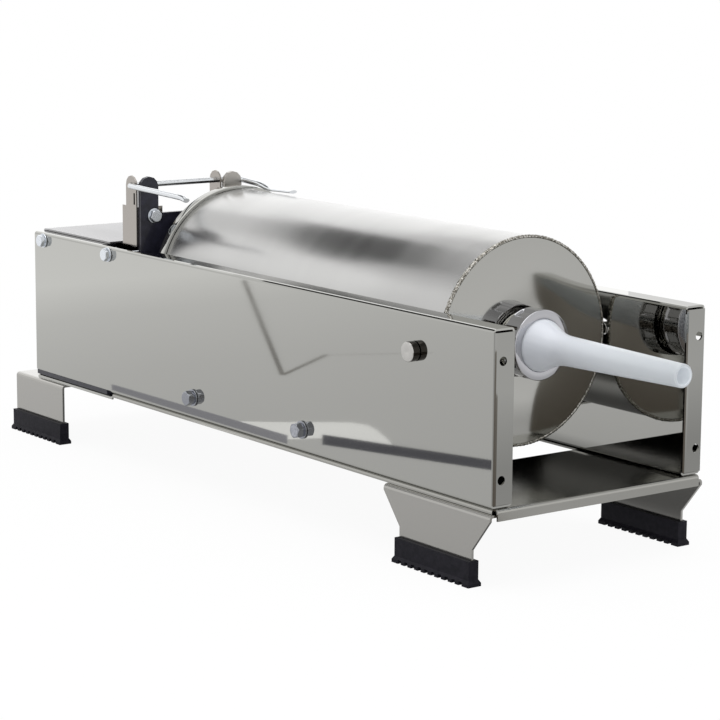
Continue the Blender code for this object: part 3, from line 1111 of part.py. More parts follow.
def build_crank():
    """Crank arm hanging down on the far side, its end bolt, and the spindle for the grip."""
    x = CRANK_SHAFT_X
    pivot = (x, 0.0, SHAFT_Z)
    hub_low, hub_high = CRANK_HUB_Y
    arm_low = CRANK_ARM_Y
    wide, narrow = CRANK_ARM_HALF_WIDTHS
    outline = arc((x, SHAFT_Z), wide, 0, 180, 2 * BEND_STEPS)
    outline += arc((x, GRIP_Z), narrow, 180, 360, 2 * BEND_STEPS)
    arm = prism(outline, "Y", arm_low, hub_high)
    hub = round_bar("Y", (x, SHAFT_Z), CRANK_HUB_RADIUS, hub_low, hub_high - GAP, MEDIUM)
    beyond = hub_high + CUT_MARGIN
    bores = [round_bar("Y", (x, SHAFT_Z), CRANK_SHAFT_RADIUS + GAP, hub_low - CUT_MARGIN, beyond),
             round_bar("Y", (x, GRIP_Z), SPINDLE_RADIUS + GAP, arm_low - CUT_MARGIN, beyond)]
    piece("crank_arm", arm, ZINC, joins=[hub], cuts=bores, pivot=pivot)

    washer_low = hub_high + GAP
    washer_top = washer_low + 2 * WASHER_THICKNESS
    head_top = washer_top + BOLT_HEAD
    piece("crank_bolt", fastener("Y", (x, SHAFT_Z), [
        (hub_high - BOLT_FLATS, washer_low, BOLT_RADIUS, False),
        (washer_low, washer_top, CRANK_HUB_RADIUS - BOLT_DOME, False),
        (washer_top, head_top, BOLT_FLATS, True)]), ZINC, pivot=pivot)

    back = arm_low - GAP
    collar = hub_high + GAP
    cap = GRIP_END_Y + GAP
    spindle = turned("Y", (x, GRIP_Z), (
        (back - SPINDLE_HEAD, SPINDLE_RADIUS), (back - SPINDLE_HEAD / 2, SPINDLE_HEAD_RADIUS),
        (back, SPINDLE_HEAD_RADIUS), (back, SPINDLE_RADIUS), (collar, SPINDLE_RADIUS),
        (collar, SPINDLE_HEAD_RADIUS), (collar + SPINDLE_COLLAR, SPINDLE_HEAD_RADIUS),
        (collar + SPINDLE_COLLAR, SPINDLE_RADIUS), (cap, SPINDLE_RADIUS), (cap, SPINDLE_HEAD_RADIUS),
        (cap + SPINDLE_CAP / 2, SPINDLE_HEAD_RADIUS), (SPINDLE_END_Y, SPINDLE_RADIUS)), SMALL)
    piece("grip_spindle", spindle, ZINC, pivot=pivot)

    bore = SPINDLE_RADIUS + GAP
    profile = [(GRIP_START_Y + share * GRIP_LENGTH, radius_share * GRIP_RADIUS)
               for share, radius_share in GRIP_SHARES]
    profile += [(GRIP_END_Y, bore), (GRIP_START_Y, bore)]
    piece("crank_grip", turned("Y", (x, GRIP_Z), profile, MEDIUM, hollow=True), BLACK_PLASTIC,
          pivot=(x, 0.0, GRIP_Z))


def build_cradle():
    """Folded cross sheet bolted to both panels, with two saddles under the cylinder."""
    low = CRADLE_Z
    edge, inside = CRADLE_HALF_WIDTH, CRADLE_HALF_WIDTH - SHEET
    tab_top = low + CRADLE_TAB_HEIGHT
    section = [(-edge, low), (edge, low), (edge, tab_top), (inside, tab_top), (inside, low + SHEET),
               (-inside, low + SHEET), (-inside, tab_top), (-edge, tab_top)]
    holes = [round_bar("Y", (x, CRADLE_BOLT_Z), BOLT_RADIUS + GAP, -HALF_WIDTH, HALF_WIDTH)
             for x in CRADLE_BOLTS_X]
    radius = TUBE_RADIUS + GAP
    spread = math.degrees(math.asin(SADDLE_HALF_WIDTH / radius))
    outline = arc((0.0, AXIS_Z), radius, -90 - spread, spread - 90, 4 * BEND_STEPS)
    floor = low + SHEET / 2
    outline += [(SADDLE_HALF_WIDTH, floor), (-SADDLE_HALF_WIDTH, floor)]
    rear = CRADLE_X[0] + SADDLE_INSET
    front = CRADLE_X[1] - SADDLE_INSET
    saddles = [prism(outline, "X", rear, rear + SADDLE_LENGTH),
               prism(outline, "X", front - SADDLE_LENGTH, front)]
    piece("cylinder_cradle", prism(section, "X", *CRADLE_X), SATIN_STEEL, joins=saddles,
          cuts=[merged(holes)])


def build_bolts():
    """Hexagon bolts with washers and nuts through the side panels and the latch brackets."""
    cradle_rear, cradle_front = CRADLE_BOLTS_X
    tab = CRADLE_HALF_WIDTH - SHEET
    high_places = (("cover_bolt", COVER_BOLT_X, SHEET), ("angle_bolt", ANGLE_BOLT_X, ANGLE_SHEET))
    low_places = (("cradle_bolt_rear", (cradle_rear, CRADLE_BOLT_Z)),
                  ("cradle_bolt_front", (cradle_front, CRADLE_BOLT_Z)))
    for end, side, head_face, edge in (("near", -1, -HALF_WIDTH, GEARBOX_EDGES_Y[0]),
                                       ("far", 1, FAR_WEB_Y, GEARBOX_EDGES_Y[1])):
        for name, x, sheet in high_places:
            point = (x, HIGH_BOLTS_Z[side > 0])
            piece(f"{name}_{end}", bolt("Y", point, head_face, edge - side * sheet, side), ZINC)
        for name, point in low_places:
            piece(f"{name}_{end}", bolt("Y", point, side * HALF_WIDTH, side * tab, side), ZINC)
    leg_back = PLATE_BACK_X - GAP - SHEET
    piece("latch_bolt_near", bolt("X", (LATCH_BOLT_Y, LATCH_BOLT_Z), FRONT_PLATE_X, leg_back, 1), ZINC)
    nut = leg_back - GAP
    piece("latch_bolt_far", fastener("X", (LATCH_BOLT_Y + EAR_PITCH, LATCH_BOLT_Z), [
        (FRONT_PLATE_X, FRONT_PLATE_X, SUNK_HEAD_RADIUS, False),
        (FRONT_PLATE_X - SUNK_HEAD_DEPTH, nut, BOLT_RADIUS, False),
        (nut, nut - BOLT_HEAD, BOLT_FLATS, True)]), ZINC)


clear_scene()
FRAME = bpy.data.objects.new("machine_frame", None)
FRAME.location = ORIGIN_SHIFT
bpy.context.scene.collection.objects.link(FRAME)

build_side_panel("side_panel_near", -1)
build_side_panel("side_panel_far", 1)
build_base()
build_legs()
for shoe_side, side_name in ((-1, "near"), (1, "far")):
    build_shoe("foot_front_" + side_name, FRONT_SHOE_X, shoe_side)
    build_shoe("foot_rear_" + side_name, REAR_SHOE_X, shoe_side)
build_gearbox_plates()
build_bushes()
build_cover()
build_latch()
build_cylinder()
build_spout()
build_piston()
build_gear_train()
build_crank()
build_cradle()
build_bolts()
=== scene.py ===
# %% [markdown]
# # A sausage stuffer in polished steel
#
# This file dresses a finished CAD model. The model's solids arrive as a fixed frame: each one sits
# at the origin with its place in its vertices, in metres, with the spout towards +X and the near
# side panel at -Y. The steps below give every solid a finish and lay finer pieces over the ones
# that the camera sees close up.

# %% Load the frame
import json
import math

import bmesh
import bpy
import numpy as np
from mathutils import Matrix, Vector


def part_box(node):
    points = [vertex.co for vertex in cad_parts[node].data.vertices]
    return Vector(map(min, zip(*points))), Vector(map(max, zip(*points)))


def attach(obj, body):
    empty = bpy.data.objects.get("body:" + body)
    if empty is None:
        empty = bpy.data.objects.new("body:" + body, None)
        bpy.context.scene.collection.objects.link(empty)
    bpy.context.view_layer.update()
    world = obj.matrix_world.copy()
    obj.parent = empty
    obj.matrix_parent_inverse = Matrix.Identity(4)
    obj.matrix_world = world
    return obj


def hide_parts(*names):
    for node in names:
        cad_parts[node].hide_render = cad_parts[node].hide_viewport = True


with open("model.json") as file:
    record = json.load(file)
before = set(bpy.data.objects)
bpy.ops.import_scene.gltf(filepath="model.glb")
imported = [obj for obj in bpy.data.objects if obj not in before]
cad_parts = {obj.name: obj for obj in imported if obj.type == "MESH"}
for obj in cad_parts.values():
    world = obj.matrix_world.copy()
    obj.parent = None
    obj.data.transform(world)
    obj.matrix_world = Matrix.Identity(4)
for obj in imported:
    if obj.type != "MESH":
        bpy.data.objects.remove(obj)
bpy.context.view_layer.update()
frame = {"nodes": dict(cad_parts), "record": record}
nodes = frame["nodes"]
scene = bpy.context.scene

# %% [markdown]
# Positions are easiest to think about in the machine's own planes: x = 0 at the front faces of the
# side panels, y = 0 through the cylinder's axis and z = 0 at the panels' lower edges. Those planes
# can be read back from the solids, so nothing has to be typed twice.

# %% The machine's own planes
MM = 0.001
TRAY_GAP = 0.3 * MM
panel_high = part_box("side_panel_near")[1]
tube_low, tube_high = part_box("cylinder_tube")
FRONT_X = panel_high.x
AXIS_Y = (tube_low.y + tube_high.y) / 2
AXIS_Z = (tube_low.z + tube_high.z) / 2
SILL_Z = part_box("base_tray")[1].z + TRAY_GAP


def place(x, y, z):
    """World position of a point given in millimetres from the machine's own planes."""
    return np.array([FRONT_X + x * MM, AXIS_Y + y * MM, SILL_Z + z * MM])


print("front", round(FRONT_X, 4), "axis", round(AXIS_Y, 4), round(AXIS_Z, 4), "sill", round(SILL_Z, 4))

# %% [markdown]
# The camera stands where the photographer's did: a long lens, a little above the machine, turned a
# third of the way from the side towards the spout. Its three axes are built from the azimuth and
# the elevation, and the picture's small roll turns the first two about the third.

# %% The camera
AZIMUTH, ELEVATION, ROLL = math.radians(53.48), math.radians(10.21), math.radians(-0.414)
CAMERA_PLACE, SENSOR_WIDTH, FOCAL_LENGTH = (1290.7, -1176.3, 409.4), 36.0, 121.5
back = Vector((math.sin(AZIMUTH) * math.cos(ELEVATION), -math.cos(AZIMUTH) * math.cos(ELEVATION),
               math.sin(ELEVATION)))
right = Vector((math.cos(AZIMUTH), math.sin(AZIMUTH), 0.0))
up = back.cross(right)
rolled_right = right * math.cos(ROLL) - up * math.sin(ROLL)
rolled_up = right * math.sin(ROLL) + up * math.cos(ROLL)
camera_data = bpy.data.cameras.new("camera")
camera_data.sensor_width, camera_data.lens = SENSOR_WIDTH, FOCAL_LENGTH
camera_data.clip_start, camera_data.clip_end = 0.05, 60.0
camera = bpy.data.objects.new("camera", camera_data)
scene.collection.objects.link(camera)
turn = Matrix((rolled_right, rolled_up, back)).transposed()
camera.matrix_world = Matrix.Translation(Vector(place(*CAMERA_PLACE))) @ turn.to_4x4()
scene.camera = camera
print("camera at", [round(v, 3) for v in camera.location])

# %% [markdown]
# A finish is a small graph of shader nodes. These two helpers keep the graphs short: one makes a
# material and sets the constant sockets of its Principled shader, the other adds a node, sets its
# properties and joins its inputs.

# %% Material helpers
def new_finish(name, **sockets):
    """A material whose Principled sockets get the given constant values."""
    finish = bpy.data.materials.new(name)
    finish.use_nodes = True
    shader = finish.node_tree.nodes["Principled BSDF"]
    for socket, value in sockets.items():
        target = shader.inputs[socket.replace("_", " ")]
        target.default_value = (*value, 1.0) if target.type == "RGBA" else value
    return finish, finish.node_tree, shader


def add(tree, kind, inputs=None, **properties):
    """A shader node with its properties set and its inputs joined or given a value."""
    node = tree.nodes.new("ShaderNode" + kind)
    for key, value in properties.items():
        setattr(node, key, value)
    for key, value in (inputs or {}).items():
        if isinstance(value, bpy.types.NodeSocket):
            tree.links.new(value, node.inputs[key])
        else:
            node.inputs[key].default_value = value
    return node


def object_place(tree, scale=(1.0, 1.0, 1.0)):
    """Object coordinates stretched by a scale, the same in every view and at every pose."""
    coordinates = add(tree, "TexCoord")
    return add(tree, "Mapping", {"Vector": coordinates.outputs["Object"], "Scale": scale}).outputs["Vector"]


def ramp(tree, fac, stops):
    """A colour ramp with (position, grey or colour) stops."""
    node = add(tree, "ValToRGB", {"Fac": fac})
    band = node.color_ramp
    while len(band.elements) < len(stops):
        band.elements.new(0.5)
    for element, (position, value) in zip(band.elements, stops):
        element.position = position
        colour = value if isinstance(value, tuple) else (value, value, value)
        element.color = (*colour, 1.0)
    return node


# %% [markdown]
# Most of the machine is polished stainless sheet. Real sheet is never quite even: the rolling leaves
# a slight waviness and handling leaves faint cloudy smudges. A noise stretched along the sheet moves
# the roughness a little, a slower one moves the colour, and a very weak bump bends the reflections.
# The tube is brushed on a lathe, so its noise is squeezed along the axis and runs round the wall.

# %% Finishes in metal
CLOUD_SCALE, TINT_SCALE, RIPPLE_SCALE = 9.0, 3.0, 22.0
DARKER_TINT, FLANGE_SHADE_SHARE = 0.94, 0.72
RIPPLE_HEIGHT = 1.0 * MM


def sheet_finish(name, colour, smooth, cloudy, wave, stretch, shade_from_x=None):
    """Metal sheet: noise clouds move the roughness between two values and the colour by a few percent.

    Past the plane x = shade_from_x the colour drops to FLANGE_SHADE_SHARE of itself: a painted shade that
    makes the front flanges darker."""
    finish, tree, shader = new_finish(name, Metallic=1.0)
    clouds = add(tree, "TexNoise", {"Vector": object_place(tree, stretch), "Scale": CLOUD_SCALE,
                                    "Detail": 5.0})
    spread = add(tree, "MapRange", {"Value": clouds.outputs["Fac"], "From Min": 0.35, "From Max": 0.7,
                                    "To Min": smooth, "To Max": cloudy})
    tree.links.new(spread.outputs["Result"], shader.inputs["Roughness"])
    slow = add(tree, "TexNoise", {"Vector": object_place(tree, stretch), "Scale": TINT_SCALE,
                                  "Detail": 2.0})
    tint = ramp(tree, slow.outputs["Fac"], ((0.3, tuple(DARKER_TINT * v for v in colour)), (0.7, colour)))
    surface = tint.outputs["Color"]
    # Painted shade: past this plane, on the front flanges, the colour is painted darker.
    if shade_from_x is not None:
        spot = add(tree, "SeparateXYZ", {"Vector": object_place(tree)})
        past = add(tree, "Math", {0: spot.outputs["X"], 1: float(shade_from_x)}, operation="GREATER_THAN")
        painted_flange_shade = (*(FLANGE_SHADE_SHARE * v for v in colour), 1.0)
        surface = add(tree, "Mix", {0: past.outputs[0], 6: surface, 7: painted_flange_shade}, data_type="RGBA").outputs[2]
    tree.links.new(surface, shader.inputs["Base Color"])
    ripple = add(tree, "TexNoise", {"Vector": object_place(tree, stretch), "Scale": RIPPLE_SCALE,
                                    "Detail": 1.0})
    bump = add(tree, "Bump", {"Height": ripple.outputs["Fac"], "Strength": wave, "Distance": RIPPLE_HEIGHT})
    tree.links.new(bump.outputs["Normal"], shader.inputs["Normal"])
    return finish


ALONG, AROUND, EVEN = (0.35, 1.0, 1.0), (5.0, 0.5, 0.5), (1.0, 1.0, 1.0)
# The front flanges begin here; past this plane the panel sheet carries a painted shade.
SHADED_FLANGE_X = FRONT_X - 2.2 * MM
panel_sheet = sheet_finish("polished_panel_sheet", (0.45, 0.449, 0.426), 0.02, 0.045, 0.012, ALONG, SHADED_FLANGE_X)
tube_sheet = sheet_finish("satin_tube_sheet", (0.53, 0.528, 0.52), 0.215, 0.255, 0.003, AROUND)
disc_sheet = sheet_finish("mirror_disc_sheet", (0.43, 0.428, 0.405), 0.05, 0.11, 0.02, EVEN)
cover_sheet = sheet_finish("brushed_cover_sheet", (0.42, 0.418, 0.424), 0.3, 0.4, 0.02, ALONG)
tray_sheet = sheet_finish("dull_tray_sheet", (0.41, 0.405, 0.38), 0.1, 0.2, 0.03, ALONG)
# Painted reflection: the latch brackets' brownish, darker colour stands in for the brown surroundings they
# mirror.
latch_steel_painted_reflection = sheet_finish("latch_steel_painted_brown_reflection", (0.37, 0.345, 0.32), 0.08, 0.2, 0.05, EVEN)
leg_sheet = sheet_finish("polished_leg_sheet", (0.44, 0.432, 0.41), 0.12, 0.2, 0.03, ALONG)
print("sheet finishes", panel_sheet.name, tube_sheet.name, disc_sheet.name)

# %% [markdown]
# Zinc plating on bolts is bluish and slightly cloudy, chrome is darker and sharper, and machined gear steel
# shows the cutter's fine lines. They share one recipe: a base colour, a band of roughness and a grain that
# follows the object's own coordinates, so that it never slides. The trunnion pins have a bright face and a
# side painted nearly black, a painted dark reflection, so they take two of these finishes.

# %% Finishes for small metal parts
GRAIN_SCALE, GRAIN_HEIGHT = 420.0, 0.2 * MM


def plated_finish(name, colour, smooth, rough, grain):
    """Small metal part: a fine noise moves the roughness and puts a weak grain in the surface."""
    finish, tree, shader = new_finish(name, Base_Color=colour, Metallic=1.0)
    fine = add(tree, "TexNoise", {"Vector": object_place(tree), "Scale": GRAIN_SCALE, "Detail": 3.0})
    spread = add(tree, "MapRange", {"Value": fine.outputs["Fac"], "From Min": 0.3, "From Max": 0.7,
                                    "To Min": smooth, "To Max": rough})
    tree.links.new(spread.outputs["Result"], shader.inputs["Roughness"])
    bump = add(tree, "Bump", {"Height": fine.outputs["Fac"], "Strength": grain, "Distance": GRAIN_HEIGHT})
    tree.links.new(bump.outputs["Normal"], shader.inputs["Normal"])
    return finish


zinc = plated_finish("blue_zinc_plating", (0.66, 0.69, 0.73), 0.16, 0.3, 0.12)
bail_zinc = plated_finish("pale_bail_plating", (0.72, 0.74, 0.76), 0.12, 0.22, 0.05)
chrome = plated_finish("nut_chrome", (0.46, 0.46, 0.48), 0.03, 0.08, 0.02)
dark_nuts = plated_finish("oiled_nut_plating", (0.32, 0.33, 0.36), 0.08, 0.2, 0.1)
pin_steel = plated_finish("turned_pin_steel", (0.55, 0.54, 0.52), 0.15, 0.28, 0.1)
# Painted reflection: the pin head's side is painted nearly black. This is not the steel's own colour.
pin_side_painted_reflection = plated_finish("pin_head_side_painted_reflection", (0.06, 0.055, 0.05), 0.1, 0.25, 0.1)
gear_steel = plated_finish("milled_gear_steel", (0.34, 0.33, 0.32), 0.25, 0.42, 0.3)
bronze = plated_finish("bush_bronze", (0.56, 0.36, 0.16), 0.25, 0.4, 0.2)
print("plated finishes", zinc.name, chrome.name)

# %% [markdown]
# The gearbox plates are painted a very dark glossy blue-black. Paint is not a metal: it has a dark
# base and a clear coat, and the coat gives the sharp reflections. A weak orange-peel bump under it
# breaks them up as sprayed paint does.

# %% Black paint
PEEL_SCALE, PEEL_HEIGHT = 160.0, 0.5 * MM
black_paint, tree, shader = new_finish("blue_black_paint", Roughness=0.4, Coat_Weight=0.35,
                                       Coat_Roughness=0.08, Specular_IOR_Level=0.3)
peel = add(tree, "TexNoise", {"Vector": object_place(tree), "Scale": PEEL_SCALE, "Detail": 2.0})
shade = ramp(tree, peel.outputs["Fac"], ((0.3, (0.009, 0.009, 0.015)), (0.7, (0.018, 0.018, 0.03))))
tree.links.new(shade.outputs["Color"], shader.inputs["Base Color"])
bump = add(tree, "Bump", {"Height": peel.outputs["Fac"], "Strength": 0.06, "Distance": PEEL_HEIGHT})
tree.links.new(bump.outputs["Normal"], shader.inputs["Normal"])
print("paint", black_paint.name)

# %% [markdown]
# The far ear of the front plate carries no paint. Above a height that cuts the ears off and past a
# width that leaves out the near one, the paint gives way to bare steel.

# %% The bare ear
EAR_FOOT_Z, EARS_MIDDLE_Y = 161.0, -10.0
ear_foot, ears_middle = float(place(0, 0, EAR_FOOT_Z)[2]), float(place(0, EARS_MIDDLE_Y, 0)[1])
ear_paint = black_paint.copy()
ear_paint.name = "paint_with_bare_far_ear"
tree = ear_paint.node_tree
spot = add(tree, "SeparateXYZ", {"Vector": add(tree, "TexCoord").outputs["Object"]})
high_up = add(tree, "Math", {0: spot.outputs["Z"], 1: ear_foot}, operation="GREATER_THAN")
far_over = add(tree, "Math", {0: spot.outputs["Y"], 1: ears_middle}, operation="GREATER_THAN")
bare = add(tree, "Math", {0: high_up.outputs[0], 1: far_over.outputs[0]}, operation="MULTIPLY")
steel = add(tree, "BsdfPrincipled", {"Base Color": (0.42, 0.4, 0.37, 1.0), "Metallic": 1.0,
                                     "Roughness": 0.3})
both = add(tree, "MixShader", {0: bare.outputs[0], 1: tree.nodes["Principled BSDF"].outputs[0],
                               2: steel.outputs[0]})
tree.links.new(both.outputs[0], tree.nodes["Material Output"].inputs["Surface"])
print("bare above", round(ear_foot, 4), "and past", round(ears_middle, 4))

# %% [markdown]
# Rubber and plastic are moulded. The mould leaves a fine grain on the skin, and the pigment is never
# mixed quite evenly, so two close colours meet in a noise over the same grain.

# %% Rubber and plastic
SKIN_HEIGHT = 0.4 * MM


def moulded_finish(name, dark, light, rough, grain, scale, **sockets):
    """Moulded rubber or plastic: two close colours mixed by noise over a grained skin."""
    finish, tree, shader = new_finish(name, Roughness=rough, **sockets)
    mottle = add(tree, "TexNoise", {"Vector": object_place(tree), "Scale": scale, "Detail": 4.0})
    mixed = ramp(tree, mottle.outputs["Fac"], ((0.3, dark), (0.7, light)))
    tree.links.new(mixed.outputs["Color"], shader.inputs["Base Color"])
    bump = add(tree, "Bump", {"Height": mottle.outputs["Fac"], "Strength": grain, "Distance": SKIN_HEIGHT})
    tree.links.new(bump.outputs["Normal"], shader.inputs["Normal"])
    return finish


shoe_rubber = moulded_finish("shoe_rubber", (0.006, 0.006, 0.009), (0.013, 0.012, 0.017), 0.5, 0.25,
                             260.0, Specular_IOR_Level=0.12)
seal_rubber = moulded_finish("pale_seal_rubber", (0.5, 0.48, 0.44), (0.6, 0.58, 0.54), 0.55, 0.15, 300.0)
grip_plastic = moulded_finish("grip_plastic", (0.012, 0.012, 0.013), (0.024, 0.024, 0.026), 0.35, 0.2,
                              500.0)
guide_plastic = moulded_finish("guide_plastic", (0.66, 0.66, 0.64), (0.76, 0.76, 0.73), 0.4, 0.05, 60.0)
print("moulded finishes", shoe_rubber.name, grip_plastic.name)

# %% [markdown]
# The nozzle is milky plastic, and daylight comes through its wall. That light is painted in as a glow: a
# weak emission over the whole skin, and a stronger painted glow close to the axis, so inside the bore. The
# colour is also painted darker from the cone to the outlet, a painted shade towards the tip.

# %% The nozzle's plastic
# Painted glow: the nozzle's emission stands in for light through its wall. It is weak on the skin and
# stronger inside the bore.
PAINTED_GLOW_RADII = (7.8 * MM, 6.6 * MM)
PAINTED_SKIN_GLOW, PAINTED_BORE_GLOW = 0.1, 0.26
CONE_X, TIP_X = (float(place(x, 0, 0)[0]) for x in (-55.0, 83.0))
nozzle_plastic, tree, shader = new_finish(
    "milky_nozzle_plastic", Roughness=0.28, Subsurface_Weight=1.0, Subsurface_Radius=(1.0, 1.0, 1.0),
    Subsurface_Scale=1.0 * MM, Emission_Color=(0.86, 0.9, 0.95))
mottle = add(tree, "TexNoise", {"Vector": object_place(tree), "Scale": 40.0, "Detail": 4.0})
bump = add(tree, "Bump", {"Height": mottle.outputs["Fac"], "Strength": 0.02, "Distance": SKIN_HEIGHT})
tree.links.new(bump.outputs["Normal"], shader.inputs["Normal"])
from_axis = add(tree, "VectorMath", {0: object_place(tree, (0.0, 1.0, 1.0)),
                                     1: (0.0, float(AXIS_Y), float(AXIS_Z))}, operation="DISTANCE")
# Painted glow, stronger close to the axis, inside the bore.
bore = add(tree, "MapRange", {"Value": from_axis.outputs["Value"], "From Min": PAINTED_GLOW_RADII[0],
                              "From Max": PAINTED_GLOW_RADII[1], "To Min": PAINTED_SKIN_GLOW, "To Max": PAINTED_BORE_GLOW})
tree.links.new(bore.outputs["Result"], shader.inputs["Emission Strength"])
# Painted shade: the base colour is painted darker from the cone towards the tip.
outward = add(tree, "SeparateXYZ", {"Vector": object_place(tree)})
outward = add(tree, "MapRange", {"Value": outward.outputs["X"], "From Min": CONE_X, "From Max": TIP_X})
painted_tip_shade = ramp(tree, outward.outputs["Result"], ((0.0, (0.6, 0.62, 0.66)), (0.6, (0.49, 0.515, 0.535)),
                                                 (1.0, (0.43, 0.455, 0.475))))
tree.links.new(painted_tip_shade.outputs["Color"], shader.inputs["Base Color"])
print("nozzle from", round(CONE_X, 3), "to", round(TIP_X, 3))

# %% [markdown]
# The disc is welded into the tube by hand. The bead's crests are bright where the metal froze, and
# the hollows between them keep dark brown heat colours. One fine noise gives both, and lifts the
# bright spots a little.

# %% The weld's finish
SPATTER_SCALE, SPATTER_HEIGHT = 760.0, 0.6 * MM
weld, tree, shader = new_finish("heat_tinted_weld", Metallic=1.0, Roughness=0.3)
spots = add(tree, "TexNoise", {"Vector": object_place(tree), "Scale": SPATTER_SCALE, "Detail": 3.0})
tint = ramp(tree, spots.outputs["Fac"], ((0.36, (0.07, 0.065, 0.055)), (0.52, (0.3, 0.285, 0.25)),
                                         (0.66, (0.7, 0.69, 0.66))))
tree.links.new(tint.outputs["Color"], shader.inputs["Base Color"])
bump = add(tree, "Bump", {"Height": spots.outputs["Fac"], "Strength": 0.6, "Distance": SPATTER_HEIGHT})
tree.links.new(bump.outputs["Normal"], shader.inputs["Normal"])
print("weld", weld.name)

# %% [markdown]
# The CAD model says which stock each solid is made of. That picks its finish, and a few solids whose
# surface differs from their stock's are listed by name.

# %% Every solid gets its finish
FINISH_OF_SLOT = {"polished_stainless": panel_sheet, "satin_stainless": pin_steel, "weld_bead": weld,
                  "chrome_plate": chrome, "zinc_plated_steel": zinc, "black_steel": black_paint,
                  "gear_steel": gear_steel, "bronze": bronze, "black_rubber": shoe_rubber,
                  "white_plastic": guide_plastic, "seal_rubber": seal_rubber, "black_plastic": grip_plastic}
FINISH_OF_NODE = {"rear_cover": cover_sheet, "base_tray": tray_sheet, "cylinder_tube": tube_sheet,
                  "cylinder_rim_band": panel_sheet, "cylinder_front_disc": disc_sheet,
                  "front_leg_bracket": leg_sheet, "rear_leg_bracket": leg_sheet, "latch_bail": bail_zinc,
                  "stuffing_nozzle": nozzle_plastic, "cylinder_cradle": leg_sheet,
                  "gearbox_front_plate": ear_paint, "latch_bracket_near": latch_steel_painted_reflection,
                  "latch_bracket_far": latch_steel_painted_reflection}
slot_of = {part["node"]: part["material_slot"] for part in frame["record"]["subparts"]}
for name, node in nodes.items():
    node.data.materials.clear()
    node.data.materials.append(FINISH_OF_NODE.get(name) or FINISH_OF_SLOT[slot_of[name]])
print(len(nodes), "solids dressed")

# %% [markdown]
# The finer pieces are surfaces on a grid. Each row of the grid is one ring of points and each column
# runs along the piece, so the faces need only index arithmetic. Rings close on themselves, and the
# ends close either onto each other, for a hollow piece, or with a flat cap.

# %% From a grid of points to a piece
SHARP_EDGE = 0.6


def grid_piece(name, rings, finish, body, stands_for, tube=False, sharp=SHARP_EDGE):
    """rings: array (rings, points, 3). Quads join neighbours; `tube` joins the last ring to the first.

    Edges that turn by more than `sharp` radians stay crisp under the smooth shading."""
    count, around = rings.shape[:2]
    steps = np.arange(count if tube else count - 1)[:, None]
    turns = np.arange(around)[None, :]
    here, ahead = steps * around, (steps + 1) % count * around
    beside = (turns + 1) % around
    quads = np.stack((here + turns, here + beside, ahead + beside, ahead + turns), -1).reshape(-1, 4)
    faces = quads.tolist()
    if not tube:
        faces += [list(range(around))[::-1], list(range((count - 1) * around, count * around))]
    mesh = bpy.data.meshes.new(name)
    mesh.from_pydata(rings.reshape(-1, 3).tolist(), [], faces)
    work = bmesh.new()
    work.from_mesh(mesh)
    bmesh.ops.recalc_face_normals(work, faces=work.faces)
    work.to_mesh(mesh)
    work.free()
    mesh.shade_smooth()
    mesh.set_sharp_from_angle(angle=sharp)
    mesh.materials.append(finish)
    piece = bpy.data.objects.new(name, mesh)
    scene.collection.objects.link(piece)
    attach(piece, body)
    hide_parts(*stands_for)
    print(name, len(mesh.polygons), "faces")
    return piece


# %% [markdown]
# A turned piece is a profile carried round an axis. Real edges are never perfectly sharp, so every
# corner of the profile is first swapped for a short curve: the corner pulls a Bezier arc between two
# points a given distance away from it.

# %% Softened profiles and turned pieces
NEARLY_HALF = 0.49


def softened(corners, size, steps=4, closed=True):
    """Corners swapped for quadratic Bezier arcs: (1-t)^2 A + 2t(1-t) P + t^2 B round each corner P.

    A and B lie `size` away from P, or just short of halfway along a side that is too short for that."""
    corners = np.asarray(corners, float)
    before, after = np.roll(corners, 1, 0), np.roll(corners, -1, 0)
    size = np.broadcast_to(np.asarray(size, float), len(corners))[:, None]
    back_step, next_step = before - corners, after - corners
    back_len = np.linalg.norm(back_step, axis=1, keepdims=True)
    next_len = np.linalg.norm(next_step, axis=1, keepdims=True)
    start = corners + back_step * np.minimum(size / back_len, NEARLY_HALF)
    end = corners + next_step * np.minimum(size / next_len, NEARLY_HALF)
    t = np.linspace(0, 1, steps)[None, :, None]
    arcs = (1 - t) ** 2 * start[:, None] + 2 * t * (1 - t) * corners[:, None] + t ** 2 * end[:, None]
    if not closed:
        arcs[0], arcs[-1] = corners[0], corners[-1]
    return arcs.reshape(-1, corners.shape[1])


def turned(profile, centre, axis="X", around=128, shape=None):
    """Rings of a profile (along, radius) in millimetres round an axis: radius * (cos a, sin a).

    `shape` may change the radius by angle: it gets arrays of along, radius and angle."""
    along, radius = profile[:, 0][:, None], profile[:, 1][:, None]
    angle = np.linspace(0, 2 * np.pi, around, endpoint=False)[None, :]
    if shape is not None:
        radius = shape(along, radius, angle)
    first, second = radius * np.cos(angle), radius * np.sin(angle)
    along = np.broadcast_to(along, first.shape)
    middle = np.asarray(centre, float)
    if axis == "X":
        points = np.stack((along, middle[0] + first, middle[1] + second), -1)
    else:
        points = np.stack((middle[0] + first, along, middle[1] + second), -1)
    return points * MM + place(0.0, 0.0, 0.0)


AXIS = (0.0, (AXIS_Z - SILL_Z) / MM)
TUBE_RADIUS = (tube_high.y - tube_low.y) / 2 / MM
TUBE_X = ((tube_low.x - FRONT_X) / MM, (tube_high.x - FRONT_X) / MM)
print("tube radius", round(TUBE_RADIUS, 2), "from", [round(v, 1) for v in TUBE_X])

# %% [markdown]
# The cylinder is a rolled and welded tube. Only its two cut edges are softened, so the long wall
# stays straight. The satin wall is what carries the wide reflections, so it needs many points round.
# The rim band is a flat ring shrunk on the rear end, with both outer corners well rounded.

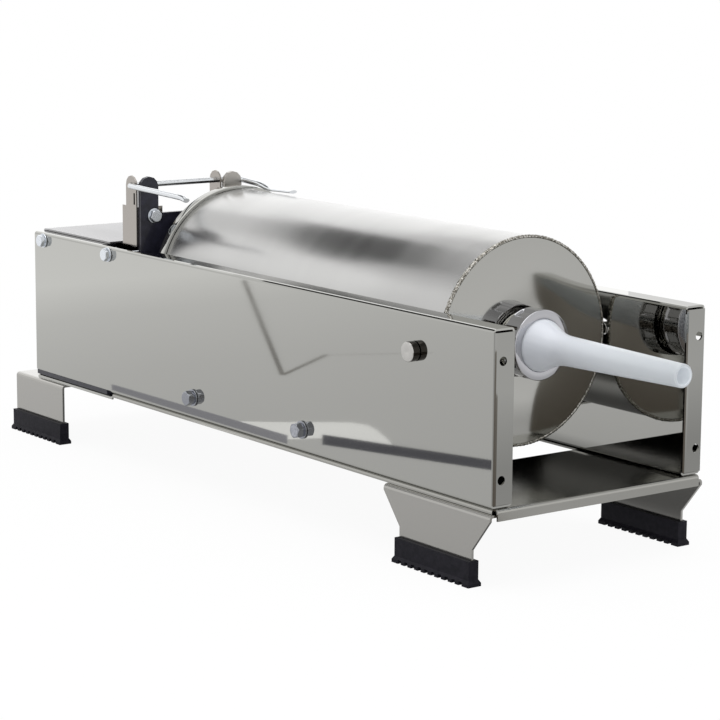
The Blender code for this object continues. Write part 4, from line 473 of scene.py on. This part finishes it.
# %% Tube and rim band
WALL, CUT_EDGE, TUBE_POINTS = 1.2, 0.35, 256
wall = softened([(TUBE_X[0], TUBE_RADIUS - WALL), (TUBE_X[0], TUBE_RADIUS), (TUBE_X[1], TUBE_RADIUS),
                 (TUBE_X[1], TUBE_RADIUS - WALL)], CUT_EDGE)
grid_piece("fine_tube", turned(wall, AXIS, around=TUBE_POINTS), tube_sheet, "stand",
           ["cylinder_tube"], tube=True)


def span_of(node):
    """Lowest and highest x and the outer radius of a round node on the cylinder's axis, in millimetres."""
    low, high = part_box(node)
    return (low.x - FRONT_X) / MM, (high.x - FRONT_X) / MM, (high.y - low.y) / 2 / MM


band_rear, band_front, band_radius = span_of("cylinder_rim_band")
band_bore = TUBE_RADIUS + 0.3
band = softened([(band_rear, band_bore), (band_rear, band_radius), (band_front, band_radius),
                 (band_front, band_bore)], (0.1, 1.1, 1.1, 0.1), 6)
grid_piece("rounded_rim_band", turned(band, AXIS, around=TUBE_POINTS), panel_sheet, "stand",
           ["cylinder_rim_band"], tube=True)

# %% [markdown]
# The polished disc closes the tube, and the weld bead wraps round the corner between the two. The
# welder moved in small steps, so the bead is a chain of ripples: two waves of different count give
# ripples that are never quite alike.

# %% Disc and weld bead
DISC_X, DISC_SHEET, NECK_BORE = -90.0, 1.5, 17.0
disc_edge = TUBE_RADIUS - 0.1
disc = softened([(DISC_X - DISC_SHEET, NECK_BORE), (DISC_X - DISC_SHEET, disc_edge),
                 (DISC_X - 0.4, disc_edge), (DISC_X, TUBE_RADIUS - 1.3), (DISC_X, NECK_BORE)],
                (0.1, 0.1, 0.3, 0.5, 0.4))
grid_piece("mirror_disc", turned(disc, AXIS, around=TUBE_POINTS), disc_sheet, "stand",
           ["cylinder_front_disc"], tube=True)
BEAD_POINTS, BEAD_FOOT, FINE_RIPPLES, COARSE_RIPPLES = 960, 80.35, 150, 61


def rippled(x, r, a):
    """r + 0.12 sin(150 a) + 0.08 sin(61 a + 2) where r lies outside the bead's foot, and r elsewhere."""
    wave = 0.12 * np.sin(FINE_RIPPLES * a) + 0.08 * np.sin(COARSE_RIPPLES * a + 2)
    return r + wave * (r > BEAD_FOOT)


bead = softened([(-92.8, 80.3), (-92.3, 80.8), (-91.2, 81.1), (-90.0, 80.8), (-89.35, 80.0), (-89.35, 79.1),
                 (-89.85, 78.6), (-89.75, 80.25)], 0.3, 3)
grid_piece("rippled_weld", turned(bead, AXIS, around=BEAD_POINTS, shape=rippled), weld, "stand",
           ["disc_weld_bead"], tube=True)

# %% [markdown]
# The neck is a short pipe with a round thread cut on its outside. A thread is a wave along the axis
# that moves on by one whole pitch while it goes once round, so its phase is x over the pitch less
# the angle.

# %% Threaded neck
NECK_X, NECK_RADIUS, NECK_STEPS = (DISC_X + 0.3, DISC_X + 12.4), 22.0, 60
THREAD_PITCH, THREAD_SWING = 4.0, 0.4


def threaded(x, r, a):
    """r - 0.4 (1 - cos(2 pi x / 4 - a)) on the outside of the neck, and r on its bore."""
    return r - THREAD_SWING * (1 - np.cos(2 * np.pi * x / THREAD_PITCH - a)) * (r > (NECK_RADIUS - 2.0))


outside = np.column_stack([np.linspace(*NECK_X, NECK_STEPS), np.full(NECK_STEPS, NECK_RADIUS)])
neck = np.vstack([[(NECK_X[0], NECK_BORE)], outside, [(NECK_X[1], NECK_BORE)]])
grid_piece("threaded_neck", turned(neck, AXIS, around=96, shape=threaded), pin_steel, "stand",
           ["spout_neck"], tube=True)

# %% [markdown]
# The ring nut is turned, bored and then milled: eight shallow scallops leave eight lugs to grip. The
# scallops run out before the front, where a flat chromed ring is left round the nozzle.

# %% Ring nut
NUT_X, NUT_RADIUS, LUGS, SCALLOP_DEPTH = (-85.2, -68.7), 26.9, 8, 1.9
RUN_OUT, FRONT_RING = 1.5, 2.2


def scalloped(x, r, a):
    """r minus 1.9 * valley, where valley = clip(0.4 - 1.8 cos 8a, 0, 1), faded out near the nut's ends."""
    valley = np.clip(0.4 - 1.8 * np.cos(LUGS * a), 0, 1)
    fade = np.clip((x - NUT_X[0]) / RUN_OUT, 0, 1) * np.clip((NUT_X[1] - FRONT_RING - x) / RUN_OUT, 0, 1)
    return r - SCALLOP_DEPTH * valley * fade * (r > 24)


nut = softened([(NUT_X[0], 22.6), (NUT_X[0], NUT_RADIUS), (-83.7, NUT_RADIUS), (-83.0, NUT_RADIUS),
                (-74.0, NUT_RADIUS), (-72.4, NUT_RADIUS), (-70.9, NUT_RADIUS), (NUT_X[1], NUT_RADIUS),
                (NUT_X[1], 20.1), (-71.8, 20.1), (-71.8, 22.6)],
               (0.1, 0.8, 0.3, 0.3, 0.5, 0.5, 0.3, 1.1, 0.6, 0.1, 0.1), 5)
grid_piece("scalloped_nut", turned(nut, AXIS, around=384, shape=scalloped), chrome, "nut",
           ["ring_nut"], tube=True)

# %% [markdown]
# The nozzle is one moulding: a flange that the nut clamps, a short steep cone and a long slim one. A
# mould can't make sharp corners, so the cones run into each other in a wide curve and the tip is
# rounded.

# %% Nozzle
nozzle = softened([(-75.0, NECK_BORE), (-75.0, 22.2), (-72.2, 22.2), (-72.2, 19.8), (-67.7, 19.8),
                   (-47.0, 11.5), (83.0, 8.6), (83.0, 6.3), (-47.0, 9.3)],
                  (0.3, 0.4, 0.3, 0.3, 1.2, 9.0, 1.9, 1.1, 9.0), 9)
grid_piece("moulded_nozzle", turned(nozzle, AXIS, around=128), nozzle_plastic, "nozzle",
           ["stuffing_nozzle"], tube=True)

# %% [markdown]
# The cylinder tips on two turned pins, one through each panel. A pin is a stem and a thicker head. The
# head's face is bright, and its side is dark, as the photo shows it. That dark side is a painted
# reflection: the faces that lie further out than the stem and short of the chamfer take the painted dark
# finish.

# %% Trunnion pins
PIN = (-93.0, 101.0)
STEM_END, HEAD_FOOT, HEAD_FACE = 82.0, 102.9, 109.1
STEM_RADIUS, HEAD_RADIUS, CHAMFER_FOOT, FACE_RADIUS = 4.7, 7.6, 108.6, 7.1
pin_x, pin_z = float(place(PIN[0], 0, 0)[0]), float(place(0, 0, PIN[1])[2])
for end, side in (("near", -1), ("far", 1)):
    pin = softened([(side * STEM_END, 0.2), (side * STEM_END, STEM_RADIUS), (side * HEAD_FOOT, STEM_RADIUS),
                    (side * HEAD_FOOT, HEAD_RADIUS), (side * CHAMFER_FOOT, HEAD_RADIUS),
                    (side * HEAD_FACE, FACE_RADIUS), (side * HEAD_FACE, 0.2)],
                   (0.05, 0.3, 0.05, 0.2, 0.15, 0.15, 0.05), 5)
    piece = grid_piece("turned_trunnion_" + end, turned(pin, PIN, "Y", 64), pin_steel, "stand",
                       ["trunnion_pin_" + end])
    piece.data.materials.append(pin_side_painted_reflection)
    centres = np.array([face.center for face in piece.data.polygons])
    reach = side * (centres[:, 1] - AXIS_Y) / MM
    radius = np.hypot(centres[:, 0] - pin_x, centres[:, 2] - pin_z) / MM
    # These faces of the head's side take the painted dark reflection.
    dark = (reach < CHAMFER_FOOT + 0.1) & (radius > STEM_RADIUS + 0.3)
    piece.data.polygons.foreach_set("material_index", dark.astype(np.int32))

# %% [markdown]
# The machine is held together by ordinary zinc-plated bolts. A hexagon head is forged as a prism and
# then chamfered on a lathe, and that is how it is made here: the radius at each angle is whichever is
# smaller, the hexagon's or the cone's. Six arcs appear on the flats by themselves. The bolts that
# hold the cradle sit low on the panels; they are a size larger, stand further out and are oilier.

# %% Hexagon bolts
FLAT, SHANK, HEAD_HEIGHT, HEAD_BASE, HEAD_ROW_COUNT = 5.0, 3.0, 5.5, 1.5, 9
HEAD_ROWS = [(5.5, 0.4, 0), (5.5, 4.2, 0), (5.5, 4.7, 0), (5.3, 5.05, 1), (5.05, 5.45, 1), (4.75, 5.8, 1),
             (1.8, 5.8, 1), (1.6, 5.4, 1), (1.5, 5.1, 1), (1.5, 6.1, 0), (1.4, 6.35, 0), (1.2, 6.4, 0),
             (0.6, 6.4, 0), (0.4, 6.35, 0), (0.3, 6.1, 0), (0.3, 3.0, 0)]
NUT_ROWS = [(0.3, 3.0, 0), (0.3, 5.1, 1), (0.6, 5.8, 1), (3.8, 5.8, 1), (4.1, 5.4, 1), (4.3, 5.0, 1),
            (4.3, 0.4, 0)]


def hexagon_bolt(node, axis, way, turn, finish, swell, proud):
    """Bolt between two faces, from rows of (height, limit, hexagon or not).

    On a hexagon row the radius is min(5 / cos(a mod 60 - 30), limit), on the others the limit."""
    low, high = (np.array(corner) - place(0, 0, 0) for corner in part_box(node))
    low, high = low / MM, high / MM
    along = 0 if axis == "X" else 1
    middle = np.delete((low + high) / 2, along)
    grip = high[along] - low[along] - HEAD_ROWS[0][0] - NUT_ROWS[-1][0]
    face = high[along] - HEAD_ROWS[0][0] if way > 0 else low[along] + HEAD_ROWS[0][0]
    rows = np.array(HEAD_ROWS + [(-grip - height, limit, six) for height, limit, six in NUT_ROWS])
    outside = (rows[:, 0] > 0) & (rows[:, 1] > SHANK) | (rows[:, 0] == HEAD_HEIGHT)
    rows[outside, 1] *= swell
    head = rows[:HEAD_ROW_COUNT]
    head[:, 0] += proud * np.clip((head[:, 0] - HEAD_BASE) / 0.3, 0, 1)
    step = math.radians(60)

    def outline(x, r, a):
        prism = FLAT * (swell if way * (x[0, 0] - face) > 0 else 1) / np.cos((a + turn) % step - step / 2)
        return np.where(rows[:, 2][:, None] > 0, np.minimum(prism, r), r)

    profile = np.column_stack([face + way * rows[:, 0], rows[:, 1]])
    grid_piece("forged_" + node, turned(profile, middle, axis, 72, outline), finish, "stand",
               [node], sharp=0.5)


SPANNER_STEP = 0.37
for number, node in enumerate(n for n in sorted(nodes) if "_bolt_" in n and n != "latch_bolt_far"):
    on_ear = node == "latch_bolt_near"
    axis, way = ("X", 1) if on_ear else ("Y", -1 if node.endswith("near") else 1)
    finish, swell, proud = (dark_nuts, 1.12, 2.4) if node.startswith("cradle") else (zinc, 1.0, 0.0)
    hexagon_bolt(node, axis, way, SPANNER_STEP * number, finish, swell, proud)

# %% [markdown]
# The latch is one length of thick wire, bent at both ends. The far end is beaten flat where the hand
# lifts it, and the near end is nipped off and slightly spread. The wire's section is an ellipse
# carried along the bent line, square to it at each step.

# %% The wire bail
LATCH, NEAR_Y, FAR_Y, WIRE_RADIUS = (-512.0, 184.0), -92.3, 21.0, 2.4
BEATEN_LENGTH, BEATEN_FADE, NIPPED_LENGTH = 40, 12, 5
corners = np.array([(94, NEAR_Y, -4.2), (87, NEAR_Y, -2.3), (0, NEAR_Y, 0), (0, FAR_Y, 0),
                    (38, FAR_Y, -2.2), (49, FAR_Y, -5.2), (87, FAR_Y, -4.2)], float)
path = softened(corners + (LATCH[0], 0.0, LATCH[1]), 6.0, 9, closed=False)
path = path[np.r_[True, np.linalg.norm(np.diff(path, axis=0), axis=1) > 0.01]]
run = np.r_[0, np.cumsum(np.linalg.norm(np.diff(path, axis=0), axis=1))]
even = np.unique(np.r_[np.linspace(0, run[-1], 160), run])
path = np.column_stack([np.interp(even, run, path[:, i]) for i in range(3)])
tangent = np.gradient(path, even, axis=0)
tangent /= np.linalg.norm(tangent, axis=1, keepdims=True)
across = np.cross((0.0, 0.0, 1.0), tangent)
across /= np.linalg.norm(across, axis=1, keepdims=True)
upward = np.cross(tangent, across)
beaten = np.clip((even - (run[-1] - BEATEN_LENGTH)) / BEATEN_FADE, 0, 1)
nipped = np.clip(1 - even / NIPPED_LENGTH, 0, 1)
wide = WIRE_RADIUS * (1 + 0.7 * beaten + 0.25 * nipped)
flat = WIRE_RADIUS * (1 - 0.38 * beaten - 0.2 * nipped)
angle = np.linspace(0, 2 * np.pi, 24, endpoint=False)
wire = (path[:, None] + across[:, None] * (wide[:, None] * np.cos(angle))[..., None]
        + upward[:, None] * (flat[:, None] * np.sin(angle))[..., None])
grid_piece("bent_bail", wire * MM + place(0, 0, 0), bail_zinc, "latch", ["latch_bail"])

# %% [markdown]
# The machine was photographed on a white table. The floor is a matt white board that also gives light of
# its own, and each kind of ray meets the two in another share. The camera sees nearly only the light: clean
# white, with a faint shadow near the machine. Mirror rays see four fifths of it, in a greyer tone with
# painted light and shade: painted brighter far to the rear and darker towards the spout, with a painted
# shadow, nearly black, under the machine. All other rays meet the plain board.

# %% The table
FLOOR_HALF, GLOW_STRENGTH, MIRROR_SHARE = 6, 1.23, 0.8
SHADOW_REACH, CAMERA_SHARE = (0.5, 1.4), (0.94, 1.0)
# The second colour is the painted shadow that mirror rays see under the machine.
CAMERA_WHITE, PAINTED_SHADOW_UNDER_MACHINE = (0.813, 0.813, 0.813, 1.0), (0.12, 0.12, 0.12, 1.0)
TABLE_X, UNDER_MIDDLE_Y, UNDER_EDGE_Y, UNDER_EDGE_X = (-1.3, 1.0), 0.028, (0.06, 0.112), (0.3, 0.38)
floor_mesh = bpy.data.meshes.new("floor")
floor_mesh.from_pydata([(-FLOOR_HALF, -FLOOR_HALF, 0), (FLOOR_HALF, -FLOOR_HALF, 0),
                        (FLOOR_HALF, FLOOR_HALF, 0), (-FLOOR_HALF, FLOOR_HALF, 0)], [], [(0, 1, 2, 3)])
floor = bpy.data.objects.new("floor", floor_mesh)
scene.collection.objects.link(floor)
pale, tree, shader = new_finish("pale_floor", Base_Color=(0.86, 0.86, 0.86), Roughness=0.9,
                                Specular_IOR_Level=0.0)
seen = add(tree, "LightPath")
mirrored = add(tree, "Math", {0: seen.outputs["Is Glossy Ray"], 1: seen.outputs["Is Transmission Ray"]},
               operation="MAXIMUM")
from_middle = add(tree, "VectorMath", {0: object_place(tree)}, operation="LENGTH")
clean = add(tree, "MapRange", {"Value": from_middle.outputs["Value"], "From Min": SHADOW_REACH[0],
                               "From Max": SHADOW_REACH[1], "To Min": CAMERA_SHARE[0],
                               "To Max": CAMERA_SHARE[1]})
share = add(tree, "Math", {0: mirrored.outputs[0], 1: MIRROR_SHARE}, operation="MULTIPLY")
share = add(tree, "Math", {0: seen.outputs["Is Camera Ray"], 1: clean.outputs["Result"],
                           2: share.outputs[0]}, operation="MULTIPLY_ADD")
spot = add(tree, "SeparateXYZ", {"Vector": object_place(tree)})
span = add(tree, "MapRange", {"Value": spot.outputs["X"], "From Min": TABLE_X[0], "From Max": TABLE_X[1]})
# Painted light for mirror rays: bright far to the rear, falling towards the spout.
table = ramp(tree, span.outputs["Result"], ((0.06, 1.0), (0.165, 0.79), (0.313, 0.66), (0.43, 0.6),
                                            (0.535, 0.56), (0.74, 0.5), (0.83, 0.45), (0.95, 0.76)))
beside = add(tree, "Math", {0: spot.outputs["Y"], 1: float(AXIS_Y) - UNDER_MIDDLE_Y},
             operation="SUBTRACT")
beside = add(tree, "Math", {0: beside.outputs[0]}, operation="ABSOLUTE")
beyond = add(tree, "Math", {0: spot.outputs["X"]}, operation="ABSOLUTE")
clear_y = add(tree, "MapRange", {"Value": beside.outputs[0], "From Min": UNDER_EDGE_Y[0],
                                 "From Max": UNDER_EDGE_Y[1]})
clear_x = add(tree, "MapRange", {"Value": beyond.outputs[0], "From Min": UNDER_EDGE_X[0],
                                 "From Max": UNDER_EDGE_X[1]})
open_table = add(tree, "Math", {0: clear_y.outputs["Result"], 1: clear_x.outputs["Result"]},
                 operation="MAXIMUM")
# Painted shadow: under the machine the mirrored tone turns nearly black.
shaded = add(tree, "Mix", {0: open_table.outputs[0], 6: PAINTED_SHADOW_UNDER_MACHINE, 7: table.outputs["Color"]},
             data_type="RGBA")
tone = add(tree, "MixRGB", {"Fac": seen.outputs["Is Camera Ray"], "Color1": shaded.outputs[2],
                            "Color2": CAMERA_WHITE})
glow = add(tree, "Emission", {"Color": tone.outputs["Color"], "Strength": GLOW_STRENGTH})
board = add(tree, "MixShader", {0: share.outputs[0], 1: shader.outputs[0], 2: glow.outputs[0]})
tree.links.new(board.outputs[0], tree.nodes["Material Output"].inputs["Surface"])
floor_mesh.materials.append(pale)
print("floor", 2 * FLOOR_HALF, "m square")

# %% [markdown]
# The room is white with a darker ceiling. The camera sees pure white behind the machine, mirror rays
# see the room get darker with height, and everything else is lit by an even, slightly dim sky.

# %% The room
world = bpy.data.worlds.new("studio")
scene.world = world
world.use_nodes = True
tree = world.node_tree
seen = add(tree, "LightPath")
direction = add(tree, "SeparateXYZ", {"Vector": add(tree, "TexCoord").outputs["Generated"]})
room = ramp(tree, direction.outputs["Z"], ((0.0, 0.95), (0.55, 1.0), (0.72, 0.6), (1.0, 0.4)))
mirrored = add(tree, "Math", {0: seen.outputs["Is Glossy Ray"], 1: seen.outputs["Is Transmission Ray"]},
               operation="MAXIMUM")
dim = add(tree, "Mix", {0: mirrored.outputs[0], 6: (0.68, 0.68, 0.69, 1.0), 7: room.outputs["Color"]},
          data_type="RGBA")
white = add(tree, "Mix", {0: seen.outputs["Is Camera Ray"], 6: dim.outputs[2], 7: (1.0, 1.0, 1.0, 1.0)},
            data_type="RGBA")
tree.links.new(white.outputs[2], tree.nodes["Background"].inputs["Color"])
scene.view_settings.view_transform = "Standard"
print("world", world.name)

# %% [markdown]
# Four soft lamps do the lighting: a wide one overhead that draws the shadows under the machine, one
# behind the far rear corner that the top of the tube mirrors as its bright line, and a weaker one on
# the near side that fills the panel and the latch. The fourth stands in front and lights the nozzle
# and the dark parts. It is the strongest, so the polished steel isn't allowed to mirror it.

# %% Lamps
def soft_lamp(name, place_m, aim_m, width, height, radiance):
    """A rectangular lamp whose power is pi * area * radiance, turned to face its aim."""
    light = bpy.data.lights.new(name, "AREA")
    light.shape, light.size, light.size_y = "RECTANGLE", width, height
    light.energy = math.pi * width * height * radiance
    lamp = bpy.data.objects.new(name, light)
    scene.collection.objects.link(lamp)
    toward = Vector(aim_m) - Vector(place_m)
    lamp.matrix_world = Matrix.Translation(place_m) @ toward.to_track_quat("-Z", "Y").to_matrix().to_4x4()
    lamp.visible_camera = False
    return lamp


soft_lamp("overhead", (0.1, -0.2, 2.4), (0.0, 0.0, 0.0), 2.6, 2.6, 1.75)
soft_lamp("far_rear", (-2.05, 1.15, 0.98), (0.0, 0.0, 0.15), 1.6, 1.9, 0.4)
soft_lamp("near_side", (-1.9, -0.95, 1.1), (0.0, 0.0, 0.15), 1.2, 0.8, 0.26)
fill = soft_lamp("front_fill", (1.7, -1.7, 0.55), (0.1, 0.0, 0.15), 1.6, 1.2, 2.3)
fill.visible_glossy = False

# %% [markdown]
# Polished steel shows the room it stands in, so cards stand in for what the photographed one shows.
# Only mirror rays meet them, and they take no light away from anything. A black card above and
# behind the machine is the dark band along the tube. A brown one, lighter towards its far edge, lies
# in front of the spout: it is what the disc and the far panel's inside show.

# %% Cards for the tube and the disc
CARD_HEIGHT, TOP_CARD_HEIGHT = 0.002, 0.003


def card(name, corners, finish):
    """A flat card with straight edges that only mirror rays meet."""
    mesh = bpy.data.meshes.new(name)
    mesh.from_pydata(corners, [], [tuple(range(len(corners)))])
    mesh.materials.append(finish)
    plate = bpy.data.objects.new(name, mesh)
    scene.collection.objects.link(plate)
    plate.visible_camera = plate.visible_diffuse = plate.visible_shadow = False


card_black = moulded_finish("card_black", (0.02, 0.02, 0.02), (0.03, 0.03, 0.03), 0.9, 0.0, 3.0)
card("ceiling_card", [(-0.94, -0.5, 0.84), (-0.94, 0.15, 0.84), (-0.94, 0.15, 1.35), (-0.94, -0.5, 1.35)],
     card_black)
dim_board, tree, shader = new_finish("brown_board", Roughness=0.9)
spot = add(tree, "SeparateXYZ", {"Vector": object_place(tree)})
forward = add(tree, "MapRange", {"Value": spot.outputs["X"], "From Min": 0.5, "From Max": 1.25})
graded = ramp(tree, forward.outputs["Result"], ((0.0, (0.17, 0.145, 0.12)), (0.5, (0.26, 0.235, 0.21)),
                                             (1.0, (0.42, 0.4, 0.37))))
tree.links.new(graded.outputs["Color"], shader.inputs["Base Color"])
card("table_edge_card", [(0.4, -0.9, CARD_HEIGHT), (1.6, -0.9, CARD_HEIGHT), (1.6, -0.02, CARD_HEIGHT),
                         (0.4, -0.02, CARD_HEIGHT)], dim_board)
print("cards for the tube and the disc hang")

# %% [markdown]
# The near panel mirrors the table beside it. There lie a pale rounded plate with a dark strip along its
# edge, three thin brown seams in the table top and a blue-grey band close to the machine. The pale plate
# also glows a little, a painted highlight in the near panel. The band lies a millimetre above the others,
# so that no two cards share a plane where they overlap.

# %% Cards for the near panel
def on_table(points, height=CARD_HEIGHT):
    """Points in machine millimetres, x and y, laid just above the table."""
    return [tuple(place(x, y, 0)[:2]) + (height,) for x, y in points]


strip_grey = moulded_finish("strip_grey", (0.07, 0.07, 0.085), (0.11, 0.11, 0.13), 0.9, 0.0, 3.0)
# Painted highlight: the pale plate's emission brightens its reflection in the near panel.
white_card_painted_glow = moulded_finish("white_card_painted_glow", (0.88, 0.88, 0.88), (0.94, 0.94, 0.94), 0.9, 0.0, 3.0,
                             Emission_Color=(1.0, 1.0, 1.0), Emission_Strength=0.22)
card("round_plate", on_table([(-640, -262), (-600, -281), (-580, -303), (-562, -329), (-546, -352),
                              (-532, -369), (-514, -374), (-491, -368), (-458, -354), (-430, -340),
                              (-503, -314), (-490, -304), (-520, -240), (-600, -225)]), white_card_painted_glow)
seam_brown = moulded_finish("seam_brown", (0.2, 0.19, 0.18), (0.3, 0.29, 0.27), 0.9, 0.0, 3.0)
SEAM_WIDTH = 4
for name, (x0, y0), (x1, y1) in (("long_seam", (-1366, -800), (-773, -452)),
                                 ("short_seam", (-773, -452), (-845, -560)),
                                 ("cross_seam", (-845, -560), (-790, -665))):
    card(name, on_table([(x0, y0), (x1, y1), (x1 + SEAM_WIDTH, y1 - SEAM_WIDTH),
                         (x0 + SEAM_WIDTH, y0 - SEAM_WIDTH)]), seam_brown)
band_blue = moulded_finish("band_blue", (0.3, 0.3, 0.335), (0.34, 0.34, 0.375), 0.9, 0.0, 3.0)
card("table_band", on_table([(-824, -278), (-514, -282), (-480, -258), (-796, -262)], TOP_CARD_HEIGHT),
     band_blue)
card("table_strip", on_table([(-503, -314), (-467, -288), (-235, -370), (-265, -395)]), strip_grey)
print("cards for the near panel lie")
